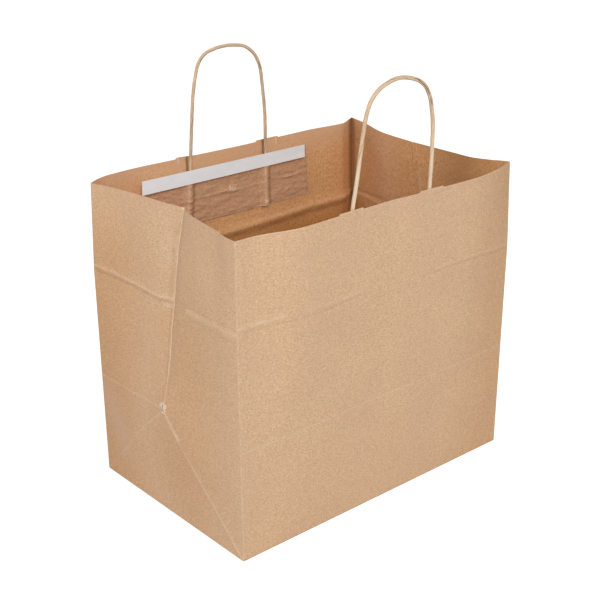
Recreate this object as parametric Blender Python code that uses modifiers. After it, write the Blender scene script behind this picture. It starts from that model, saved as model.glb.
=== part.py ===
"""Paper carrier bag with side gussets, a block bottom and two twisted paper handles.

Metres, +Z up. The origin is at the middle of the base, on the surface it stands on.
+X runs along the wide panels, the front panel faces -Y, and the back panel carries
the grey closure strip on its inner face.
"""

import math
from dataclasses import dataclass

import bmesh
import bpy
from mathutils import Vector

# Bag, opened out
BAG_WIDTH = 0.320
BAG_DEPTH = 0.210
BAG_HEIGHT = 0.290
PAPER = 0.0002
GLUE_GAP = 0.0003

# Folds: the bottom fold runs round the bag, the packing fold lies where it was stored flat
BOTTOM_FOLD_HEIGHT = 0.106
PACKING_FOLD_HEIGHT = 0.210
PACKING_FOLD_DRIFT = {"FL": 0.0055, "FR": -0.0015, "BR": 0.0035, "BL": -0.003}
PACKING_RIDGE = 0.0008
PACKING_RIDGE_REACH = 0.005
CORNER_PUSH_AT_PACKING_FOLD = 0.0015
BACK_DENT_AT_PACKING_FOLD = 0.005
GUSSET_NODE_PUSH = 0.004
BACK_DENT_SPREAD = 0.4
PANEL_BULGE_POWER = 1.6

# Block bottom: an outer flap over an inner flap over the folded sheet
FLAP_LAYER = 0.0002
FLAP_EDGE_INSET = 0.0004
FLAP_LAP_PAST_MIDDLE = 0.012
FLAP_BITE = 0.0001

# Side seam, on the back panel beside its right corner
SEAM_START = 0.0006
SEAM_LAP = 0.020
SEAM_STEP = 0.0002

# Raised tabs that the cutter leaves at each handle leg
TAB_SPACING = 0.0923
TAB_WIDTH = 0.0275
TAB_RISE = 0.002
STEP_RUN = 0.0008

# Handles
ROPE_DIAMETER = 0.004
LEG_SPACING = 0.089
PATCH_LENGTH = 0.192
PATCH_HEIGHT = 0.049
PATCH_TOP_BELOW_RIM = 0.015
BASE_PATCH_INSET = 0.002
RIDGE_HALF_WIDTH = 0.009
ROPE_END_ABOVE_PATCH_EDGE = 0.0015

# Grey closure strip
STRIP_LENGTH = 0.1925
STRIP_WIDTH = 0.0128
STRIP_THICKNESS = 0.0003
STRIP_TOP_BELOW_RIM = 0.0116
STRIP_SHIFT = -0.0055

# Mesh pitches and counts
GUSSET_CELLS = 16
BOTTOM_ROWS = 8
MIDDLE_ROWS = 4
UPPER_ROWS = 5
PANEL_PITCH = 0.0125
PATCH_ROWS = 4
RIDGE_CELLS = 10
FLANK_CELLS = 4
SPAN_CELLS = 6
LEG_SPANS = 4
ROPE_POINT_PITCH = 0.009
CURVE_SAMPLES = 12
ROUNDING = 1e-6

CORNERS = {"FL": (-1, -1), "FR": (1, -1), "BR": (1, 1), "BL": (-1, 1)}
# How far each corner's rim stands from above its base corner
CORNER_LEAN = {
    "FL": Vector((0.0008, 0.0004)),
    "FR": Vector((0.0026, 0.0002)),
    "BR": Vector((0.0032, 0.0059)),
    "BL": Vector((-0.0002, -0.0040)),
}

# Bow of each rim from the straight line between its corners: share of the length, outward
FRONT_BOW = (
    (0.00, 0.0), (0.05, 0.0003), (0.10, 0.0033), (0.14, 0.0072), (0.18, 0.0099), (0.22, 0.0106),
    (0.29, 0.0098), (0.40, 0.0091), (0.50, 0.0085), (0.57, 0.0105), (0.69, 0.0125), (0.81, 0.0138),
    (0.87, 0.0117), (0.93, 0.0075), (1.00, 0.0),
)
BACK_BOW = (
    (0.000, 0.0), (0.034, -0.0055), (0.070, -0.0104), (0.114, -0.0090), (0.197, -0.0046),
    (0.320, -0.0028), (0.468, -0.0006), (0.587, 0.0027), (0.709, 0.0060), (0.814, 0.0090),
    (0.869, 0.0096), (0.925, 0.0088), (0.958, 0.0063), (1.000, 0.0),
)
# The same for a gusset, from its first corner to the middle crease and on to its second corner
RIGHT_BOW = (
    ((0.00, 0.0), (0.045, -0.002), (0.15, -0.0089), (0.34, -0.0163), (0.55, -0.0172), (1.0, -0.0192)),
    ((0.00, -0.0192), (0.10, -0.0190), (0.37, -0.0174), (0.79, -0.0043), (1.00, 0.0)),
)
LEFT_BOW = (
    ((0.00, 0.0), (0.09, -0.0028), (0.22, -0.0065), (0.50, -0.0120), (0.80, -0.0160), (1.0, -0.0205)),
    ((0.00, -0.0205), (0.10, -0.0155), (0.28, -0.0112), (0.68, -0.0050), (0.88, -0.0007), (1.0, 0.0)),
)
# How the gussets' inward fold grows from the bottom fold (0) to the rim (1)
GUSSET_FOLD_RISE = ((0.0, 0.0), (0.22, 0.38), (0.41, 0.57), (0.57, 0.76), (0.85, 0.93), (1.0, 1.0))

# Arch of each handle: across in leg spacings, up in handle heights
BACK_ARCH = (
    (-0.479, 0.285), (-0.453, 0.575), (-0.417, 0.760), (-0.372, 0.880), (-0.294, 0.951),
    (-0.174, 0.985), (-0.032, 0.998), (0.105, 0.988), (0.222, 0.963), (0.336, 0.890),
    (0.404, 0.795), (0.434, 0.712), (0.463, 0.532), (0.492, 0.290),
)
FRONT_ARCH = (
    (-0.464, 0.223), (-0.432, 0.464), (-0.401, 0.670), (-0.369, 0.790), (-0.309, 0.884),
    (-0.211, 0.950), (-0.100, 0.982), (0.008, 0.992), (0.132, 0.974), (0.252, 0.936),
    (0.345, 0.872), (0.413, 0.782), (0.448, 0.695), (0.480, 0.574), (0.494, 0.420), (0.501, 0.255),
)

KRAFT = (0.64, 0.43, 0.26, 1.0)
KRAFT_PATCH = (0.53, 0.36, 0.23, 1.0)
KRAFT_ROPE = (0.68, 0.46, 0.29, 1.0)
LINER_GREY = (0.65, 0.64, 0.64, 1.0)
PAPER_ROUGHNESS = 0.85
LINER_ROUGHNESS = 0.5


@dataclass(frozen=True)
class Side:
    """One of the four walls, run from corner to corner as seen from above, anticlockwise."""

    start: str
    end: str
    outward: Vector
    bows: tuple
    crease_shift: float = 0.0

    @property
    def gusset(self):
        return len(self.bows) == 2


@dataclass(frozen=True)
class Handle:
    """One rope handle with its two paper patches, glued to the inner face of a wide panel."""

    name: str
    side: str
    centre_x: float
    tab_centre_x: float
    height: float
    lean: float
    slant: float
    arch: tuple


SIDES = {
    "front": Side("FL", "FR", Vector((0.0, -1.0)), (FRONT_BOW,)),
    "right": Side("FR", "BR", Vector((1.0, 0.0)), RIGHT_BOW),
    "back": Side("BR", "BL", Vector((0.0, 1.0)), (BACK_BOW,)),
    "left": Side("BL", "FL", Vector((-1.0, 0.0)), LEFT_BOW, 0.004),
}
HANDLES = (
    Handle("front", "front", 0.0040, 0.0016, 0.1075, -0.006, 0.0, FRONT_ARCH),
    Handle("back", "back", -0.0037, -0.0016, 0.1015, -0.003, -0.0062, BACK_ARCH),
)
SHEET_FOOT = 2 * FLAP_LAYER


def clear_scene():
    for thing in list(bpy.data.objects):
        bpy.data.objects.remove(thing, do_unlink=True)


def new_collection(name):
    collection = bpy.data.collections.new(name)
    bpy.context.scene.collection.children.link(collection)
    return collection


def paper_material(name, colour, roughness):
    material = bpy.data.materials.new(name)
    material.use_nodes = True
    shader = material.node_tree.nodes["Principled BSDF"]
    shader.inputs["Base Color"].default_value = colour
    shader.inputs["Roughness"].default_value = roughness
    shader.inputs["Metallic"].default_value = 0.0
    material.diffuse_color = colour
    return material


def smooth_through(points, x):
    """Height at x of the smooth curve through points, which never overshoots them."""
    x = min(max(x, points[0][0]), points[-1][0])
    k = 0
    while k < len(points) - 2 and x > points[k + 1][0]:
        k += 1
    slopes = [(b[1] - a[1]) / (b[0] - a[0]) for a, b in zip(points, points[1:])]

    def tangent(i):
        if i == 0:
            return slopes[0]
        if i == len(points) - 1:
            return slopes[-1]
        before, after = slopes[i - 1], slopes[i]
        return 0.0 if before * after <= 0.0 else 2.0 * before * after / (before + after)

    (x0, y0), (x1, y1) = points[k], points[k + 1]
    span = x1 - x0
    t = (x - x0) / span
    rise = t * t * (3.0 - 2.0 * t)
    return (
        y0 + (y1 - y0) * rise
        + span * tangent(k) * t * (1.0 - t) ** 2
        - span * tangent(k + 1) * t * t * (1.0 - t)
    )


def packing_tent(z, foot):
    """1 on the packing fold, falling in a straight line to 0 at foot and at the rim."""
    if z <= foot or z >= BAG_HEIGHT:
        return 0.0
    if z <= PACKING_FOLD_HEIGHT:
        return (z - foot) / (PACKING_FOLD_HEIGHT - foot)
    return (BAG_HEIGHT - z) / (BAG_HEIGHT - PACKING_FOLD_HEIGHT)


def fold_drift(side, u, z):
    """How much higher or lower the paper of height z lies, because the packing fold runs askew."""
    drift = PACKING_FOLD_DRIFT[side.start] * (1.0 - u) + PACKING_FOLD_DRIFT[side.end] * u
    return drift * packing_tent(z, BOTTOM_FOLD_HEIGHT)


def packing_ridge(z):
    """The pressed ridge that stands up along the packing fold."""
    return PACKING_RIDGE * max(0.0, 1.0 - abs(z - PACKING_FOLD_HEIGHT) / PACKING_RIDGE_REACH)


def corner_point(corner, z):
    """Outer corner of the bag at height z, as a plan position."""
    across, along = CORNERS[corner]
    push = CORNER_PUSH_AT_PACKING_FOLD * packing_tent(z, 0.0)
    base = Vector((across * (BAG_WIDTH / 2 + push), along * (BAG_DEPTH / 2 + push)))
    return base + CORNER_LEAN[corner] * min(z / BAG_HEIGHT, 1.0)


def panel_bow(side, u, z):
    """How far a wide panel stands out from the straight line between its corners."""
    rise = min(z / BAG_HEIGHT, 1.0) ** PANEL_BULGE_POWER
    bow = smooth_through(side.bows[0], u) * rise
    if side is SIDES["back"]:
        spread = math.sin(math.pi * u) ** BACK_DENT_SPREAD
        return bow - BACK_DENT_AT_PACKING_FOLD * spread * packing_tent(z, BOTTOM_FOLD_HEIGHT)
    return bow + packing_ridge(z)


def gusset_bow(side, u, z):
    """How far a gusset stands out: folded in above the bottom fold, pushed out at its node."""
    if u <= 0.5:
        from_corner = 2.0 * u
        bow = smooth_through(side.bows[0], from_corner)
    else:
        from_corner = 2.0 - 2.0 * u
        bow = smooth_through(side.bows[1], 2.0 * u - 1.0)
    node = min(from_corner, z / BOTTOM_FOLD_HEIGHT, 1.0)
    climb = max(0.0, (min(z, BAG_HEIGHT) - BOTTOM_FOLD_HEIGHT) / (BAG_HEIGHT - BOTTOM_FOLD_HEIGHT))
    fold = bow * smooth_through(GUSSET_FOLD_RISE, climb)
    return fold + GUSSET_NODE_PUSH * node * (1.0 - climb) + packing_ridge(z)


def seam_step(side, u):
    """Outward step of the glued lap beside the back panel's right corner."""
    if side is not SIDES["back"]:
        return 0.0
    from_corner = u * BAG_WIDTH
    rise = (from_corner - SEAM_START) / STEP_RUN
    fall = (SEAM_LAP + STEP_RUN - from_corner) / STEP_RUN
    return SEAM_STEP * max(0.0, min(rise, fall, 1.0))


def sheet_point(side, u, z):
    """Point of the bag's outer surface: share u along a side, at height z up the paper."""
    start = corner_point(side.start, z)
    end = corner_point(side.end, z)
    along = (end - start).normalized()
    if side.gusset:
        bow = gusset_bow(side, u, z)
        climb = max(0.0, (z - BOTTOM_FOLD_HEIGHT) / (BAG_HEIGHT - BOTTOM_FOLD_HEIGHT))
        along_shift = side.crease_shift * (1.0 - abs(2.0 * u - 1.0)) * min(climb, 1.0)
    else:
        bow = panel_bow(side, u, z) + seam_step(side, u)
        along_shift = 0.0
    plan = start.lerp(end, u) + side.outward * bow + along * along_shift
    return Vector((plan.x, plan.y, z + fold_drift(side, u, z)))


def share_at_x(side, x, z):
    """Share along a wide panel at which it has the given x."""
    start = corner_point(side.start, z).x
    end = corner_point(side.end, z).x
    return (x - start) / (end - start)


def inside_point(side, x, z, offset):
    """Point on a wide panel's inner side, offset in from its inner face."""
    paper_z = z
    for _ in range(3):
        paper_z = z - fold_drift(side, share_at_x(side, x, paper_z), paper_z)
    outer = sheet_point(side, share_at_x(side, x, paper_z), paper_z)
    inward = -side.outward.y
    return Vector((x, outer.y + inward * (PAPER + offset), z))


def leg_x(handle, which, z):
    """x of a handle's leg: which is -1 or 1, and the legs slant a little below the rim."""
    below = max(0.0, BAG_HEIGHT - z) / (PATCH_TOP_BELOW_RIM + PATCH_HEIGHT)
    return handle.centre_x + which * LEG_SPACING / 2 + handle.slant * below


def tab_edges(handle):
    """The x of both ends of both raised tabs of a handle's panel, in order."""
    edges = []
    for which in (-1, 1):
        middle = handle.tab_centre_x + which * TAB_SPACING / 2
        edges += [middle - TAB_WIDTH / 2, middle + TAB_WIDTH / 2]
    return edges


def filled(stops, pitch):
    """The stops in order, with evenly spaced values between them no further apart than pitch."""
    values = [stops[0]]
    for a, b in zip(stops, stops[1:]):
        cells = max(1, math.ceil((b - a) / pitch - ROUNDING))
        values += [a + (b - a) * k / cells for k in range(1, cells + 1)]
    return values


def panel_columns(side, handle):
    """Shares along a wide panel, each with the rim's rise there."""
    edges = sorted(share_at_x(side, x, BAG_HEIGHT) for x in tab_edges(handle))
    half_run = STEP_RUN / 2 / BAG_WIDTH
    stops = [0.0]
    if side is SIDES["back"]:
        for x in (SEAM_START, SEAM_LAP):
            stops += [x / BAG_WIDTH, (x + STEP_RUN) / BAG_WIDTH]
    for edge in edges:
        stops += [edge - half_run, edge + half_run]
    stops.append(1.0)
    columns = filled(stops, PANEL_PITCH / BAG_WIDTH)
    tabs = [(edges[0], edges[1]), (edges[2], edges[3])]
    return [(u, TAB_RISE if any(a < u < b for a, b in tabs) else 0.0) for u in columns]


def sheet_columns():
    """Every column of the folded sheet, anticlockwise from the front left corner."""
    columns = []
    for name, side in SIDES.items():
        if side.gusset:
            shares = [(k / GUSSET_CELLS, 0.0) for k in range(GUSSET_CELLS + 1)]
        else:
            shares = panel_columns(side, next(h for h in HANDLES if h.side == name))
        columns += [(side, u, rise) for u, rise in shares[:-1]]
    return columns


def sheet_heights():
    """Heights of the rows up the paper, from the foot fold to the rim."""
    lower = [BOTTOM_FOLD_HEIGHT * k / BOTTOM_ROWS for k in range(1, BOTTOM_ROWS + 1)]
    ridge = [PACKING_FOLD_HEIGHT + k * PACKING_RIDGE_REACH for k in (-1, 0, 1)]
    middle = filled([lower[-1], ridge[0]], (ridge[0] - lower[-1]) / MIDDLE_ROWS)
    upper = filled([ridge[-1], BAG_HEIGHT], (BAG_HEIGHT - ridge[-1]) / UPPER_ROWS)
    return [0.0] + lower + middle[1:] + [ridge[1]] + upper


def build_sheet_mesh():
    """The walls and the floor of the bag as one open surface, its outer face out."""
    columns = sheet_columns()
    heights = sheet_heights()
    bm = bmesh.new()
    rows = []
    for z in heights:
        row = []
        for side, u, rise in columns:
            point = sheet_point(side, u, z)
            point.z = max(point.z, SHEET_FOOT) + (rise if z == heights[-1] else 0.0)
            row.append(bm.verts.new(point))
        rows.append(row)
    count = len(columns)
    for low, high in zip(rows, rows[1:]):
        for i in range(count):
            j = (i + 1) % count
            side, u, _ = columns[i]
            falls = side.gusset and u >= 0.5
            if falls:
                bm.faces.new((low[i], low[j], high[i]))
                bm.faces.new((low[j], high[j], high[i]))
            else:
                bm.faces.new((low[i], low[j], high[j]))
                bm.faces.new((low[i], high[j], high[i]))
    bm.faces.new(list(reversed(rows[0])))
    mesh = bpy.data.meshes.new("bag_body")
    bm.to_mesh(mesh)
    bm.free()
    return mesh


def prism(name, outline, bottom, top, collection):
    """Upright prism on a plan outline."""
    bm = bmesh.new()
    face = bm.faces.new([bm.verts.new((x, y, bottom)) for x, y in outline])
    lifted = bmesh.ops.extrude_face_region(bm, geom=[face])
    risen = [v for v in lifted["geom"] if isinstance(v, bmesh.types.BMVert)]
    bmesh.ops.translate(bm, verts=risen, vec=(0.0, 0.0, top - bottom))
    bmesh.ops.recalc_face_normals(bm, faces=bm.faces)
    mesh = bpy.data.meshes.new(name)
    bm.to_mesh(mesh)
    bm.free()
    solid = bpy.data.objects.new(name, mesh)
    collection.objects.link(solid)
    solid.hide_render = True
    solid.display_type = "WIRE"
    return solid


def flap_outline(facing):
    """Bottom flap folded in from one wide side (facing -1 or 1), its ends cut on the diagonal."""
    long_half = BAG_WIDTH / 2 - FLAP_EDGE_INSET
    base = facing * (BAG_DEPTH / 2 - FLAP_EDGE_INSET)
    free = -facing * FLAP_LAP_PAST_MIDDLE
    free_half = long_half - abs(free - base)
    points = [(-long_half, base), (long_half, base), (free_half, free), (-free_half, free)]
    return points if facing < 0 else list(reversed(points))


def build_body(collection, cutters):
    body = bpy.data.objects.new("bag_body", build_sheet_mesh())
    collection.objects.link(body)
    body.data.materials.append(paper_material("kraft_paper", KRAFT, PAPER_ROUGHNESS))
    shell = body.modifiers.new("paper thickness", "SOLIDIFY")
    shell.thickness = PAPER
    shell.offset = -1.0
    shell.use_even_offset = True
    flap_top = SHEET_FOOT + FLAP_BITE
    flaps = (("outer_bottom_flap", -1, 0.0), ("inner_bottom_flap", 1, FLAP_LAYER))
    for name, facing, bottom in flaps:
        union = body.modifiers.new(name, "BOOLEAN")
        union.operation = "UNION"
        union.solver = "EXACT"
        union.object = prism(name, flap_outline(facing), bottom, flap_top, cutters)
    return body


def rope_centre_offset():
    """Distance of a glued leg's centre line from the panel's inner face."""
    return GLUE_GAP + PAPER + GLUE_GAP + ROPE_DIAMETER / 2


def patch_bottom():
    return BAG_HEIGHT - PATCH_TOP_BELOW_RIM - PATCH_HEIGHT


def leg_points(handle, which):
    """Route points of one leg, from its glued end up to the rim."""
    side = SIDES[handle.side]
    foot = patch_bottom() + ROPE_END_ABOVE_PATCH_EDGE
    heights = filled([foot, BAG_HEIGHT], (BAG_HEIGHT - foot) / LEG_SPANS)
    return [inside_point(side, leg_x(handle, which, z), z, rope_centre_offset()) for z in heights]


def rope_route(handle):
    """Route points of a handle: up the left leg, round the arch and down the right leg."""
    left = leg_points(handle, -1)
    right = leg_points(handle, 1)
    arch = []
    for across, up in handle.arch:
        x = handle.centre_x + across * LEG_SPACING
        share = min(max(across + 0.5, 0.0), 1.0)
        rim_y = left[-1].y + (right[-1].y - left[-1].y) * share
        arch.append(Vector((x, rim_y + handle.lean * up, BAG_HEIGHT + up * handle.height)))
    return left + arch + list(reversed(right))


def smooth_route(points, pitch):
    """Evenly spaced points on a Catmull-Rom curve through the route points."""
    dense = []
    ends = [2 * points[0] - points[1]] + points + [2 * points[-1] - points[-2]]
    for a, b, c, d in zip(ends, ends[1:], ends[2:], ends[3:]):
        for k in range(CURVE_SAMPLES):
            t = k / CURVE_SAMPLES
            pull = (c - a) * t + (2 * a - 5 * b + 4 * c - d) * t * t + (3 * b - a - 3 * c + d) * t ** 3
            dense.append(b + 0.5 * pull)
    dense.append(points[-1])
    lengths = [0.0]
    for a, b in zip(dense, dense[1:]):
        lengths.append(lengths[-1] + (b - a).length)
    steps = round(lengths[-1] / pitch)
    evenly = []
    k = 0
    for step in range(steps + 1):
        reach = lengths[-1] * step / steps
        while k < len(dense) - 2 and lengths[k + 1] < reach:
            k += 1
        part = (reach - lengths[k]) / (lengths[k + 1] - lengths[k])
        evenly.append(dense[k].lerp(dense[k + 1], min(part, 1.0)))
    return evenly


def build_rope(handle, collection):
    points = smooth_route(rope_route(handle), ROPE_POINT_PITCH)
    curve = bpy.data.curves.new(f"{handle.name}_handle_rope", "CURVE")
    curve.dimensions = "3D"
    curve.bevel_depth = ROPE_DIAMETER / 2
    curve.bevel_resolution = 2
    curve.use_fill_caps = True
    spline = curve.splines.new("POLY")
    spline.points.add(len(points) - 1)
    for target, point in zip(spline.points, points):
        target.co = (*point, 1.0)
    rope = bpy.data.objects.new(curve.name, curve)
    collection.objects.link(rope)
    curve.materials.append(paper_material(f"{curve.name}_paper", KRAFT_ROPE, PAPER_ROUGHNESS))
    return rope


def cover_rise(handle, x, z):
    """How far the cover patch stands up over the nearer leg, beyond lying flat."""
    nearest = min(abs(x - leg_x(handle, which, z)) for which in (-1, 1))
    if nearest >= RIDGE_HALF_WIDTH:
        return 0.0
    top = rope_centre_offset() + ROPE_DIAMETER / 2 + GLUE_GAP
    return (top - cover_flat_offset()) * math.cos(math.pi / 2 * nearest / RIDGE_HALF_WIDTH) ** 2


def cover_flat_offset():
    return GLUE_GAP + PAPER + GLUE_GAP


def patch_stations(handle, z, inset, ridged):
    """The x of a patch's columns at height z, closer together where it climbs over a leg."""
    half = PATCH_LENGTH / 2 - inset
    ends = [handle.centre_x - half, handle.centre_x + half]
    if not ridged:
        return filled(ends, PANEL_PITCH)
    left, right = leg_x(handle, -1, z), leg_x(handle, 1, z)
    reach = RIDGE_HALF_WIDTH
    stops = [ends[0], left - reach, left + reach, right - reach, right + reach, ends[1]]
    cells = (FLANK_CELLS, RIDGE_CELLS, SPAN_CELLS, RIDGE_CELLS, FLANK_CELLS)
    stations = stops[:1]
    for a, b, count in zip(stops, stops[1:], cells):
        stations += filled([a, b], (b - a) / count)[1:]
    return stations


def build_patch(handle, kind, collection):
    """A paper patch as an open grid on the panel's inner face, thickened away from it."""
    side = SIDES[handle.side]
    ridged = kind == "cover"
    inset = 0.0 if ridged else BASE_PATCH_INSET
    bottom = patch_bottom() + inset
    top = BAG_HEIGHT - PATCH_TOP_BELOW_RIM - inset
    heights = [bottom + (top - bottom) * k / PATCH_ROWS for k in range(PATCH_ROWS + 1)]
    bm = bmesh.new()
    rows = []
    for z in heights:
        row = []
        for x in patch_stations(handle, z, inset, ridged):
            offset = cover_flat_offset() + cover_rise(handle, x, z) if ridged else GLUE_GAP
            row.append(bm.verts.new(inside_point(side, x, z, offset)))
        rows.append(row)
    for low, high in zip(rows, rows[1:]):
        for a, b, c, d in zip(low, low[1:], high[1:], high):
            bm.faces.new((a, b, c, d) if side.outward.y < 0 else (d, c, b, a))
    name = f"{handle.name}_handle_{kind}_patch"
    mesh = bpy.data.meshes.new(name)
    bm.to_mesh(mesh)
    bm.free()
    patch = bpy.data.objects.new(name, mesh)
    collection.objects.link(patch)
    mesh.materials.append(paper_material(f"{name}_paper", KRAFT_PATCH, PAPER_ROUGHNESS))
    shell = patch.modifiers.new("paper thickness", "SOLIDIFY")
    shell.thickness = PAPER
    shell.offset = -1.0
    return patch


def strip_offset():
    """Distance of the strip's back from the panel's inner face, where it crosses a leg."""
    return rope_centre_offset() + ROPE_DIAMETER / 2 + GLUE_GAP + PAPER + GLUE_GAP


def build_closure_strip(handle, collection):
    """A straight stiff strip across both legs, resting on the cover patch's two ridges."""
    side = SIDES[handle.side]
    top = BAG_HEIGHT - STRIP_TOP_BELOW_RIM
    bm = bmesh.new()
    rows = []
    for z in (top - STRIP_WIDTH, top):
        left, right = [
            inside_point(side, leg_x(handle, which, z), z, strip_offset()) for which in (-1, 1)
        ]
        row = []
        for end in (-1, 1):
            reach = STRIP_SHIFT + end * STRIP_LENGTH / 2
            share = (handle.centre_x + reach - left.x) / (right.x - left.x)
            row.append(bm.verts.new(left + (right - left) * share))
        rows.append(row)
    (a, b), (d, c) = rows
    bm.faces.new((d, c, b, a))
    mesh = bpy.data.meshes.new("closure_strip")
    bm.to_mesh(mesh)
    bm.free()
    strip = bpy.data.objects.new("closure_strip", mesh)
    collection.objects.link(strip)
    mesh.materials.append(paper_material("release_liner", LINER_GREY, LINER_ROUGHNESS))
    shell = strip.modifiers.new("liner thickness", "SOLIDIFY")
    shell.thickness = STRIP_THICKNESS
    shell.offset = -1.0
    return strip


def main():
    clear_scene()
    collection = new_collection("paper_carrier_bag")
    cutters = new_collection("cutters")
    build_body(collection, cutters)
    for handle in HANDLES:
        build_rope(handle, collection)
        build_patch(handle, "base", collection)
        build_patch(handle, "cover", collection)
    back = next(handle for handle in HANDLES if handle.side == "back")
    build_closure_strip(back, collection)


main()
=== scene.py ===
"""Visual model of a kraft paper carrier bag with twisted paper handles.

Metres, +Z up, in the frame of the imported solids: the front panel faces -Y, and the bag
stands on the origin's plane. Every piece rides on the one body, because nothing moves.
"""

import logging
import math
from dataclasses import dataclass, field
from enum import Enum
from typing import Iterable, Iterator, Sequence

import bmesh
import bpy
from mathutils import Matrix, Vector, noise


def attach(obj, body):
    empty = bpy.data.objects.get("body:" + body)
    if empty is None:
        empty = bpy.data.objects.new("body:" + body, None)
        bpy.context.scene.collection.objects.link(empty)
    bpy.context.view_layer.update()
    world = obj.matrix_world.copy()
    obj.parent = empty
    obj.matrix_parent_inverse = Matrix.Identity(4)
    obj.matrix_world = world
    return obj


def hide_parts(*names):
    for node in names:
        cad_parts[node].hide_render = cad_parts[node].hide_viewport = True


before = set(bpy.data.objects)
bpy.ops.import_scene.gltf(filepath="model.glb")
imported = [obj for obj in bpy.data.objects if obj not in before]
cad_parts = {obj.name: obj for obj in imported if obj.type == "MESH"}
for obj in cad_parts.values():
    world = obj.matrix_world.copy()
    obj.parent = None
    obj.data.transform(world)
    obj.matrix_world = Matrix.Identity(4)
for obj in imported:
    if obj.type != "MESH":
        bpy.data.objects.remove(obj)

LOG = logging.getLogger("paper_carrier_bag")
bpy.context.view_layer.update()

Knots = tuple[tuple[float, float], ...]
Colour = tuple[float, float, float]


class Corner(Enum):
    """A vertical fold of the bag, as seen from above: across and along signs."""

    FRONT_LEFT = (-1, -1)
    FRONT_RIGHT = (1, -1)
    BACK_RIGHT = (1, 1)
    BACK_LEFT = (-1, 1)


class Wall(Enum):
    """One of the four walls, in the order of the girth: its first and last corner."""

    FRONT = (Corner.FRONT_LEFT, Corner.FRONT_RIGHT)
    RIGHT = (Corner.FRONT_RIGHT, Corner.BACK_RIGHT)
    BACK = (Corner.BACK_RIGHT, Corner.BACK_LEFT)
    LEFT = (Corner.BACK_LEFT, Corner.FRONT_LEFT)

    @property
    def outward(self) -> Vector:
        """Plan direction out of the bag."""
        first, last = self.value
        middle = Vector(first.value) + Vector(last.value)
        return middle.normalized()

    @property
    def gusset(self) -> bool:
        """Whether the wall is one of the two folding sides."""
        return self in (Wall.LEFT, Wall.RIGHT)


class Face(Enum):
    """Sides of the sheet on which a pressed line or a painted mark shows."""

    BOTH = "both"
    OUTSIDE = "outside"
    INSIDE = "inside"


class PatchKind(Enum):
    """The two papers that hold a rope between them."""

    BASE = "base"
    COVER = "cover"


def smooth_through(knots: Knots, x: float) -> float:
    """Height at x of the smooth curve through the knots, which never overshoots them.

    Args:
        knots: points of the curve in order.
        x: where to read it, held to the knots' range.

    Returns:
        The curve's height.
    """
    x = min(max(x, knots[0][0]), knots[-1][0])
    k = 0
    while k < len(knots) - 2 and x > knots[k + 1][0]:
        k += 1
    slopes = [(b[1] - a[1]) / (b[0] - a[0]) for a, b in zip(knots, knots[1:])]

    def tangent(i: int) -> float:
        """Slope of the curve at knot i."""
        if i in (0, len(knots) - 1):
            return slopes[min(i, len(slopes) - 1)]
        before, after = slopes[i - 1], slopes[i]
        return 0.0 if before * after <= 0.0 else 2.0 * before * after / (before + after)

    (x0, y0), (x1, y1) = knots[k], knots[k + 1]
    span = x1 - x0
    t = (x - x0) / span
    rise = t * t * (3.0 - 2.0 * t)
    return (
        y0 + (y1 - y0) * rise
        + span * tangent(k) * t * (1.0 - t) ** 2
        - span * tangent(k + 1) * t * t * (1.0 - t)
    )


def filled(stops: Sequence[float], pitch: float) -> list[float]:
    """The stops in order, with even values between them no further apart than pitch.

    Args:
        stops: values that have to be there.
        pitch: widest step.

    Returns:
        The stops and the values between them.
    """
    values = [stops[0]]
    for a, b in zip(stops, stops[1:]):
        cells = max(1, math.ceil((b - a) / pitch - 1e-6))
        values += [a + (b - a) * k / cells for k in range(1, cells + 1)]
    return values


def ease(x: float) -> float:
    """Smooth step from 0 at 0 to 1 at 1."""
    x = min(max(x, 0.0), 1.0)
    return x * x * (3.0 - 2.0 * x)


def wander(x: float, y: float, size: float, seed: float) -> float:
    """Smooth irregular value from about -1 to 1 at a place of the paper.

    Args:
        x: place along the paper, in metres.
        y: place up the paper, in metres.
        size: size of the irregularities, in metres.
        seed: which of the patterns to read.

    Returns:
        The value there.
    """
    return 2.0 * noise.noise(Vector((x / size, y / size, seed)))


# Where each wall starts along the girth, and how long it is
GIRTH_START = {Wall.FRONT: 0.0, Wall.RIGHT: 0.320, Wall.BACK: 0.530, Wall.LEFT: 0.850}
WALL_LENGTH = {Wall.FRONT: 0.320, Wall.RIGHT: 0.210, Wall.BACK: 0.320, Wall.LEFT: 0.210}
GIRTH = 1.060
# Half width from which a mark is an even tint, not a broken line
WIDE_MARK = 0.02


@dataclass(frozen=True)
class PaperMark:
    """A pressed line, painted highlight or shadow, or wide tint, from start to end along the sheet.

    Both ends are places in girth and height. The line lifts the paper by rise, falling to
    nothing at reach, and tints it light, dark, grey or with painted shade within the half width
    line. Besides wear on real creases, many light and dark tints are painted highlights and
    shadows.
    """

    start: tuple[float, float]
    end: tuple[float, float]
    rise: float = 0.0
    reach: float = 0.0035
    light: float = 0.0
    dark: float = 0.0
    grey: float = 0.0
    # painted shade: darker, more saturated paper where less light reaches
    painted_shade: float = 0.0
    line: float = 0.0011
    broken: float = 0.5
    face: Face = Face.BOTH

    def distance(self, s: float, z: float) -> float:
        """Distance of the sheet's point (s, z) from the line."""
        ax, ay = self.start
        dx, dy = self.end[0] - ax, self.end[1] - ay
        t = ((s - ax) * dx + (z - ay) * dy) / (dx * dx + dy * dy)
        t = min(max(t, 0.0), 1.0)
        return math.hypot(s - ax - t * dx, z - ay - t * dy)

    def relief(self, s: float, z: float) -> float:
        """How far the line lifts the sheet's point (s, z)."""
        if self.rise == 0.0:
            return 0.0
        near = 1.0 - self.distance(s, z) / self.reach
        return self.rise * near * near if near > 0.0 else 0.0

    def shows(self, face: Face, wall: Wall) -> bool:
        """Whether the line is seen on a side of a wall."""
        low = min(self.start[0], self.end[0]) - self.line
        high = max(self.start[0], self.end[0]) + self.line
        start = GIRTH_START[wall]
        return self.face in (Face.BOTH, face) and low < start + WALL_LENGTH[wall] and high > start


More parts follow.
